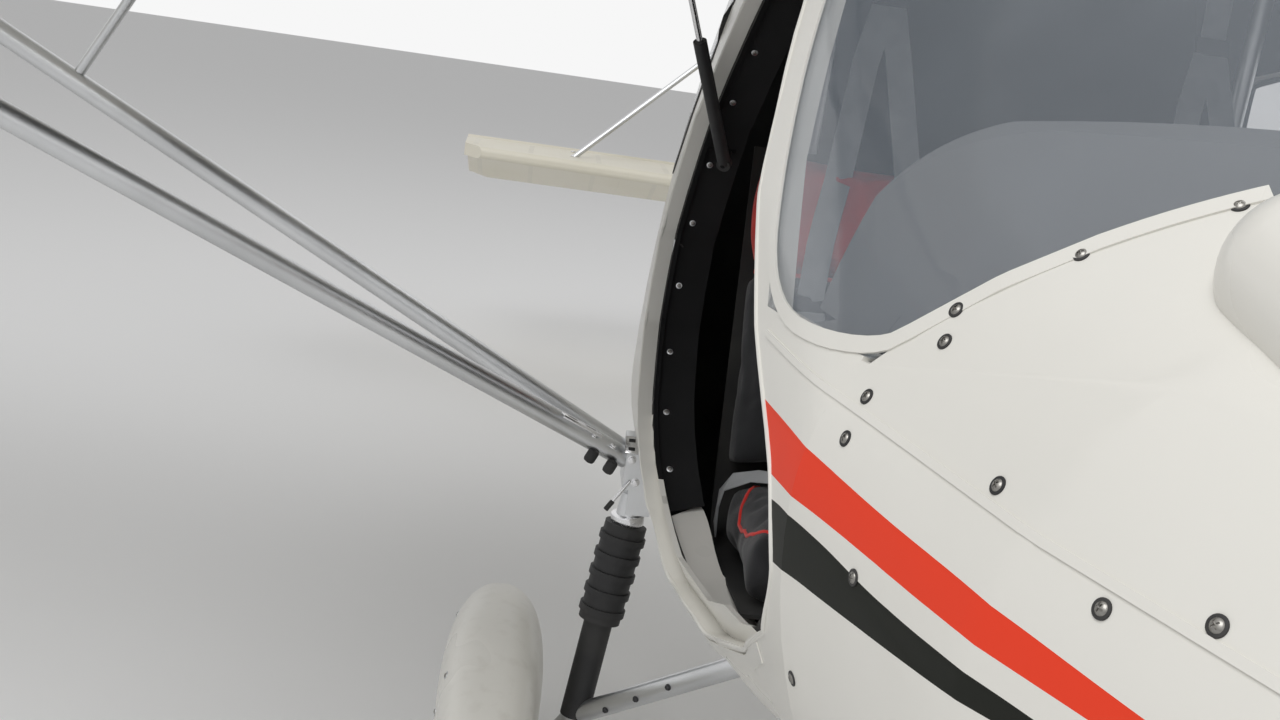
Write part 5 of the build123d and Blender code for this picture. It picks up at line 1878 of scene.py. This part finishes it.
@dataclass
class Fairings(Assembly):
    """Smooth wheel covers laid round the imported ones' own sections."""

    around: int = 64
    along: int = 84
    bulge: float = 2.0 / 3.0

    def section(self, rows: Sequence[Sequence[float]], share: float) -> list[float]:
        """Station, half width, middle height and half height at a share of the length.

        Args:
            rows: The cover's rows.
            share: 0 at the nose and 1 at the tail.

        Returns:
            The four sizes, eased between the rows.
        """
        place = share * (len(rows) - 1)
        k = min(int(place), len(rows) - 2)
        t = place - k
        out = []
        for column in range(4):
            a, b = rows[k][column], rows[k + 1][column]
            before = rows[max(k - 1, 0)][column]
            after = rows[min(k + 2, len(rows) - 1)][column]
            pull_a, pull_b = (b - before) / 2, (after - a) / 2
            out.append((2 * t ** 3 - 3 * t ** 2 + 1) * a + (t ** 3 - 2 * t ** 2 + t) * pull_a
                       + (3 * t ** 2 - 2 * t ** 3) * b + (t ** 3 - t ** 2) * pull_b)
        return out

    def cover(self, name: str, rows: Sequence[Sequence[float]], x: float, wheel: Point,
              radius: float, half: float) -> Piece:
        """Lay the cover's skin, close it and cut the wheel's well.

        Args:
            name: Name of the cover.
            rows: Its rows.
            x: Offset of its middle.
            wheel: Offset, station and height of the wheel's centre.
            radius: Radius of the well.
            half: Half of the well's width.

        Returns:
            The cover.
        """
        bpy.ops.mesh.primitive_grid_add(x_subdivisions=self.around, y_subdivisions=self.along,
                                        size=1.0)
        piece = self.bench.named(bpy.context.object, name)
        for vert in piece.data.vertices:
            turn = (vert.co.x + 0.5) * 2 * math.pi
            s, wide, middle, high = self.section(rows, vert.co.y + 0.5)
            c, d = math.cos(turn), math.sin(turn)
            vert.co = spot(x + wide * math.copysign(abs(c) ** self.bulge, c), s,
                           middle + high * math.copysign(abs(d) ** self.bulge, d))
        self.bench.edit(piece, lambda: bpy.ops.mesh.remove_doubles(threshold=0.00005),
                        lambda: bpy.ops.mesh.fill_holes(sides=0),
                        lambda: bpy.ops.mesh.normals_make_consistent(inside=False))
        wx, ws, wz = wheel
        well = self.bench.barrel("well", spot(wx - half, ws, wz), spot(wx + half, ws, wz), radius,
                                 96)
        self.bench.cut(piece, well)
        slot = self.bench.block("slot", spot(wx, ws, wz - 0.120), (2 * half, 2 * radius, 0.240),
                                0.0002)
        self.bench.cut(piece, slot)
        self.bench.smooth(piece, 40.0)
        return piece

    def build(self) -> None:
        """Make the three covers."""
        across, s, z = MAIN_WHEEL
        for side in Side:
            name = "spat_" + side.word
            x = side.value * across
            piece = self.cover(name + "_smooth", MAIN_SPAT, x + side.value * 0.004, (x, s, z),
                               0.184, 0.066)
            self.keep(piece, self.finishes.pearl, "shell_white", stands_for=[name])
            skin = Skin([piece.data])
            marks = [skin.beside(side, s + 0.12 * dx, 0.285 + 0.045 * dz)
                     for dx in (-1, 1) for dz in (0, 1.6)]
            self.screws(name + "_screws", marks, dark_washer=False)
        piece = self.cover("nose_spat_smooth", NOSE_SPAT, 0.0, NOSE_WHEEL, 0.163, 0.055)
        self.keep(piece, self.finishes.pearl, "shell_white", "nose_steering", ["nose_spat"])


@dataclass
class Wings(Assembly):
    """Fabric wings: rib tapes, strut fittings, brackets, filler caps, lamps and the pitot."""

    ribs: int = 14
    first_rib: float = 0.620
    rib_pitch: float = 0.300
    front: float = 1.562
    rear: float = 2.520
    strut_ends: tuple[Point, ...] = ((2.850, 1.625, 1.880), (2.880, 2.500, 1.882))
    hinge_brackets: tuple[float, ...] = (0.800, 1.480, 2.180, 2.620, 3.420, 4.300)
    inspection_rings: Outline = ((3.100, 2.020), (1.880, 2.250), (4.100, 2.150))
    filler: tuple[float, float] = (0.950, 1.930)
    probe: tuple[float, float] = (3.400, 1.640)

    def tapes(self) -> Piece:
        """Lay a tape over each rib, above and below."""
        skin = self.skin("wing_left")
        chord = self.rear - self.front
        rows = [[skin.under(self.first_rib + self.rib_pitch * k,
                            self.front + chord * (step / 16) ** 1.5, up) for step in range(17)]
                for k in range(self.ribs) for up in (True, False)]
        return self.bench.joined("rib_tapes_left", self.taped(rows, 2, 0.15, 0.024))

    def fittings(self) -> Piece:
        """Bolt the lift struts' upper ends under the wing."""
        b = self.bench
        parts = []
        for x, s, z in self.strut_ends:
            for shift in (-0.024, 0.024):
                parts.append(b.block("lug", spot(x + shift * 0.35, s + shift, z + 0.004),
                                     (0.060, 0.004, 0.036), 0.001))
            parts.append(b.barrel("pin", spot(x, s - 0.034, z), spot(x, s + 0.034, z), 0.0065,
                                  20, 0.001))
        return b.joined("wing_fittings_left", parts)

    def brackets(self) -> Piece:
        """Hang the hinge brackets and the inspection rings under the wing."""
        b = self.bench
        skin = self.skin("wing_left")
        parts = []
        for x in self.hinge_brackets:
            hit = skin.under(x, 2.500, False)
            if hit:
                parts.append(b.block("bracket", hit[0] + Vector((0, 0.004, -0.008)),
                                     (0.005, 0.070, 0.024), 0.001))
        for x, s in self.inspection_rings:
            hit = skin.under(x, s, False)
            if hit:
                parts.append(b.barrel("ring", hit[0] + hit[1] * 0.0018, hit[0] - hit[1] * 0.001,
                                      0.048, 40, 0.0006, bore=0.040))
        return b.joined("wing_brackets_left", parts)

    def caps(self) -> Piece:
        """Fit the filler cap on top of the wing."""
        b = self.bench
        hit = self.skin("wing_left").under(*self.filler, True)
        parts = []
        if hit:
            place, up = hit
            parts = [b.barrel("cap", place - up * 0.001, place + up * 0.008, 0.034, 40, 0.002),
                     b.block("grip", place + up * 0.012, (0.052, 0.007, 0.010), 0.002),
                     b.barrel("flange", place - up * 0.001, place + up * 0.002, 0.046, 40,
                              0.0006)]
        return b.joined("filler_cap_left", parts)

    def lamps(self) -> None:
        """Fit a coloured lamp and a clear tail one on each wing tip."""
        b, f = self.bench, self.finishes
        for side, finish in ((Side.LEFT, f.red_lamp), (Side.RIGHT, f.green_lamp)):
            skin = self.skin("wing_" + side.word)
            way = Vector((-side.value, 0, 0))
            for name, s, lens in (("front", 1.800, finish), ("rear", 2.280, f.white_lamp)):
                hit = skin.touch(spot(side.value * 4.900, s, 1.985), way)
                if not hit:
                    continue
                place, normal = hit
                base = b.barrel(f"tip_lamp_base_{name}_{side.word}", place - normal * 0.010,
                                place + normal * 0.002, 0.017, 32, 0.001)
                self.keep(base, f.rubber, "bellows_black")
                glass = b.ball(f"tip_lamp_{name}_{side.word}", place - normal * 0.002, 0.0135)
                self.keep(glass, lens, "clear_panel")

    def pitot(self) -> None:
        """Hang the air-speed probe under the left wing."""
        b = self.bench
        hit = self.skin("wing_left").under(*self.probe, False)
        if hit:
            foot = hit[0] + Vector((0, 0, 0.004))
            elbow = foot + Vector((0, -0.020, -0.105))
            nose = elbow + Vector((0, -0.150, 0.0))
            probe = b.tube("pitot", smoothed([foot, elbow.lerp(foot, 0.2), elbow.lerp(nose, 0.2),
                                              nose], 2, False), 0.0052)
            self.keep(probe, self.finishes.bright, "alloy")

    def build(self) -> None:
        """Make both wings."""
        b, f = self.bench, self.finishes
        for piece, finish, slot in ((self.tapes(), f.tape, "wing_fabric"),
                                    (self.fittings(), f.alloy, "alloy"),
                                    (self.brackets(), f.alloy, "alloy"),
                                    (self.caps(), f.bright, "alloy")):
            twin = b.mirrored(piece, piece.name.replace("_left", "_right"))
            self.keep(piece, finish, slot)
            self.keep(twin, finish, slot)
        self.lamps()
        self.pitot()
        self.paint(f.wing, "wing_left", "wing_right", "flap_left", "flap_right",
                   "aileron_left", "aileron_right")


@dataclass
class Tail(Assembly):
    """Fabric tail: rib tapes, brace ends and tail lamp."""

    flat_ribs: tuple[float, ...] = (0.130, 0.390, 0.660, 0.930, 1.150)
    upright_ribs: tuple[float, ...] = (1.240, 1.480, 1.720, 1.960, 2.180)

    def tapes(self, node: str, body: str, front: float, rear: float, upright: bool) -> None:
        """Lay tapes over a surface's ribs.

        Args:
            node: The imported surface.
            body: Body that it rides on.
            front: Station where the tapes start.
            rear: Station where they end.
            upright: Whether the surface stands up.
        """
        skin = self.skin(node)
        steps = 16 if upright else 10
        along = [front + (rear - front) * k / steps for k in range(steps + 1)]
        if upright:
            rows = [[skin.beside(side, s, z) for s in along]
                    for z in self.upright_ribs for side in Side]
        else:
            rows = [[skin.under(side.value * x, s, up) for s in along]
                    for x in self.flat_ribs for side in Side for up in (True, False)]
        tapes = self.taped(rows, 0 if upright else 2, 0.3, 0.020)
        self.keep(self.bench.joined(node + "_tapes", tapes), self.finishes.tail_tape,
                  "tail_fabric", body)

    def brace_ends(self) -> None:
        """Bolt the brace wires' ends to the tailplane."""
        b = self.bench
        skin = self.skin("tailplane")
        parts = []
        for side in Side:
            for s in (5.330, 5.500):
                for up in (True, False):
                    hit = skin.under(side.value * 0.762, s, up)
                    if hit:
                        place, normal = hit
                        parts.append(b.barrel("boss", place - normal * 0.001,
                                              place + normal * 0.005, 0.0115, 6, 0.001))
        self.keep(b.joined("brace_bosses", parts), self.finishes.bright, "alloy")

    def build(self) -> None:
        """Make the tail."""
        f = self.finishes
        self.tapes("tailplane", "airframe", 5.118, 5.560, False)
        self.tapes("elevator", "elevator_body", 5.620, 5.945, False)
        self.tapes("fin", "airframe", 4.700, 5.760, True)
        self.tapes("rudder", "rudder_body", 5.800, 6.190, True)
        self.brace_ends()
        lamp = self.bench.ball("tail_lamp", spot(0.0, 6.188, 1.300), 0.0125)
        self.keep(lamp, f.white_lamp, "clear_panel", "rudder_body")
        self.paint(f.tail, "fin", "rudder", "tailplane", "elevator")
        self.paint(f.alloy, "tail_braces")


@dataclass
class Power(Assembly):
    """Spinner, blades, engine and its exhaust."""

    axis_z: float = 1.150
    spinner_screws: int = 8
    cylinders: tuple[float, ...] = (0.560, 0.780)
    fins: int = 6

    def spinner(self) -> None:
        """Smooth the spinner and screw it to its backplate."""
        b, f = self.bench, self.finishes
        self.renew("spinner", f.pearl, "shell_white", "propeller", 40.0)
        skin = self.skin("spinner")
        marks = []
        middle = spot(0.0, 0.335, self.axis_z)
        for k in range(self.spinner_screws):
            turn = 2 * math.pi * (k + 0.5) / self.spinner_screws
            out = Vector((math.cos(turn), 0.0, math.sin(turn)))
            marks.append(skin.touch(middle + out * 0.4, -out))
        self.screws("spinner_screws", marks, "propeller", 0.0040, False)
        plate = b.barrel("spinner_backplate", spot(0.0, 0.3605, self.axis_z),
                         spot(0.0, 0.3670, self.axis_z), 0.1385, 72, 0.0012)
        self.keep(plate, f.alloy, "alloy", "propeller")

    def engine(self) -> None:
        """Give the engine finned barrels, rocker covers and plug leads."""
        b, f = self.bench, self.finishes
        fins = []
        covers = []
        leads = []
        for side in Side:
            for s in self.cylinders:
                for k in range(self.fins):
                    x = side.value * (0.120 + 0.013 * k)
                    fins.append(b.block("fin", spot(x, s, 1.090), (0.0035, 0.135, 0.135), 0.001))
                covers.append(b.block("cover", spot(side.value * 0.203, s, 1.090),
                                      (0.026, 0.110, 0.110), 0.008))
                leads.append(b.tube("lead", smoothed([
                    spot(side.value * 0.200, s, 1.150), spot(side.value * 0.190, s, 1.215),
                    spot(side.value * 0.090, s + 0.02, 1.232), spot(0.0, 0.700, 1.225)], 2,
                    False), 0.0042))
        self.keep(b.joined("barrel_fins", fins), f.engine, "dark_steel")
        self.keep(b.joined("rocker_covers", covers), f.dark_metal, "dark_steel")
        self.keep(b.joined("plug_leads", leads), f.rubber, "bellows_black")

    def exhaust(self) -> None:
        """Bring the exhaust out under the lower cowl."""
        b, f = self.bench, self.finishes
        skin = self.skin("cowl_lower")
        hit = skin.touch(spot(0.110, 0.960, 0.150), Vector((0, 0, 1)))
        if hit:
            mouth = hit[0] + Vector((0, 0.045, -0.045))
            root = hit[0] + Vector((0, -0.030, 0.040))
            pipe = b.barrel("exhaust_pipe", root, mouth, 0.021, 36, 0.001, bore=0.0175)
            self.keep(pipe, f.engine, "dark_steel")
            collar = b.barrel("exhaust_collar", hit[0] + Vector((0, 0, 0.006)),
                              hit[0] + Vector((0, 0.003, -0.003)), 0.031, 36, 0.0015)
            self.keep(collar, f.alloy, "alloy")

    def build(self) -> None:
        """Make the power plant."""
        f = self.finishes
        self.spinner()
        self.engine()
        self.exhaust()
        self.renew("propeller_blades", f.blade, "blade_grey", "propeller", 40.0)
        self.paint(f.engine, "engine_block")


@dataclass
class Studio:
    """Floor, light and the photograph's camera."""

    camera_at: Point = (-0.843, -3.0, 1.5)
    right: Point = (0.98831, -0.05126, 0.14335)
    up: Point = (-0.12555, 0.25814, 0.95795)
    lens: float = 36.5625
    floor_size: float = 60.0
    light_level: float = 0.44
    backdrop: float = 0.93

    def camera(self) -> None:
        """Stand the camera where the photograph was taken."""
        data = bpy.data.cameras.new("camera")
        data.sensor_width = 36.0
        data.lens = self.lens
        data.clip_start = 0.02
        camera = bpy.data.objects.new("camera", data)
        right = Vector(self.right).normalized()
        up = Vector(self.up)
        up = (up - right * up.dot(right)).normalized()
        back = right.cross(up)
        turn = Matrix((right, up, back)).transposed().to_4x4()
        camera.matrix_world = Matrix.Translation(self.camera_at) @ turn
        bpy.context.collection.objects.link(camera)
        bpy.context.scene.camera = camera

    def floor(self) -> None:
        """Lay a pale floor that keeps the shadow."""
        bpy.ops.mesh.primitive_plane_add(size=self.floor_size, location=(0.0, 0.0, -0.001))
        floor = bpy.context.object
        floor.name = "studio_floor"
        sheet = Sheet("studio_floor")
        sheet.put(Base_Color=(0.86, 0.86, 0.86), Roughness=0.9)
        floor.data.materials.append(sheet.material)

    def world(self) -> None:
        """Soft even light that reads as a pale backdrop."""
        world = bpy.data.worlds.new("studio")
        world.use_nodes = True
        tree = world.node_tree
        background = tree.nodes["Background"]
        background.inputs["Color"].default_value = (1.0, 1.0, 1.0, 1.0)
        path = tree.nodes.new("ShaderNodeLightPath")
        seen = path.outputs["Is Camera Ray"]
        for kind in ("Is Glossy Ray", "Is Transmission Ray"):
            most = tree.nodes.new("ShaderNodeMath")
            most.operation = "MAXIMUM"
            tree.links.new(seen, most.inputs[0])
            tree.links.new(path.outputs[kind], most.inputs[1])
            seen = most.outputs[0]
        level = tree.nodes.new("ShaderNodeMapRange")
        level.inputs["To Min"].default_value = self.light_level
        level.inputs["To Max"].default_value = self.backdrop
        tree.links.new(seen, level.inputs["Value"])
        tree.links.new(level.outputs["Result"], background.inputs["Strength"])
        bpy.context.scene.world = world

    def lamp(self, name: str, at: Point, size: float, power: float) -> None:
        """Hang a soft square lamp that looks at the cabin.

        Args:
            name: Name of the lamp.
            at: Where it hangs.
            size: Side of the square.
            power: Watts.
        """
        data = bpy.data.lights.new(name, "AREA")
        data.size = size
        data.energy = power
        lamp = bpy.data.objects.new(name, data)
        lamp.location = at
        aim = Vector((0.0, -0.8, 0.9)) - Vector(at)
        lamp.rotation_euler = aim.to_track_quat("-Z", "Y").to_euler()
        bpy.context.collection.objects.link(lamp)

    def build(self) -> None:
        """Set the whole studio."""
        self.camera()
        self.floor()
        self.world()
        self.lamp("sky_lamp", (-3.5, -4.5, 7.0), 5.0, 300.0)
        self.lamp("fill_lamp", (5.0, 3.0, 7.0), 6.0, 150.0)
        bpy.context.scene.view_settings.view_transform = "Standard"


def main() -> None:
    """Build and dress the aeroplane."""
    logging.basicConfig(level=logging.INFO, format="%(name)s: %(message)s")
    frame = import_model()
    bpy.ops.object.select_all(action="DESELECT")
    shared = (Bench(), frame["nodes"], Finishes())
    for assembly in (Pod, Cabin, Doors, Seats, Undercarriage, Fairings, Wings, Tail, Power):
        assembly(*shared).build()
    Studio().build()


if __name__ == "__main__":
    main()
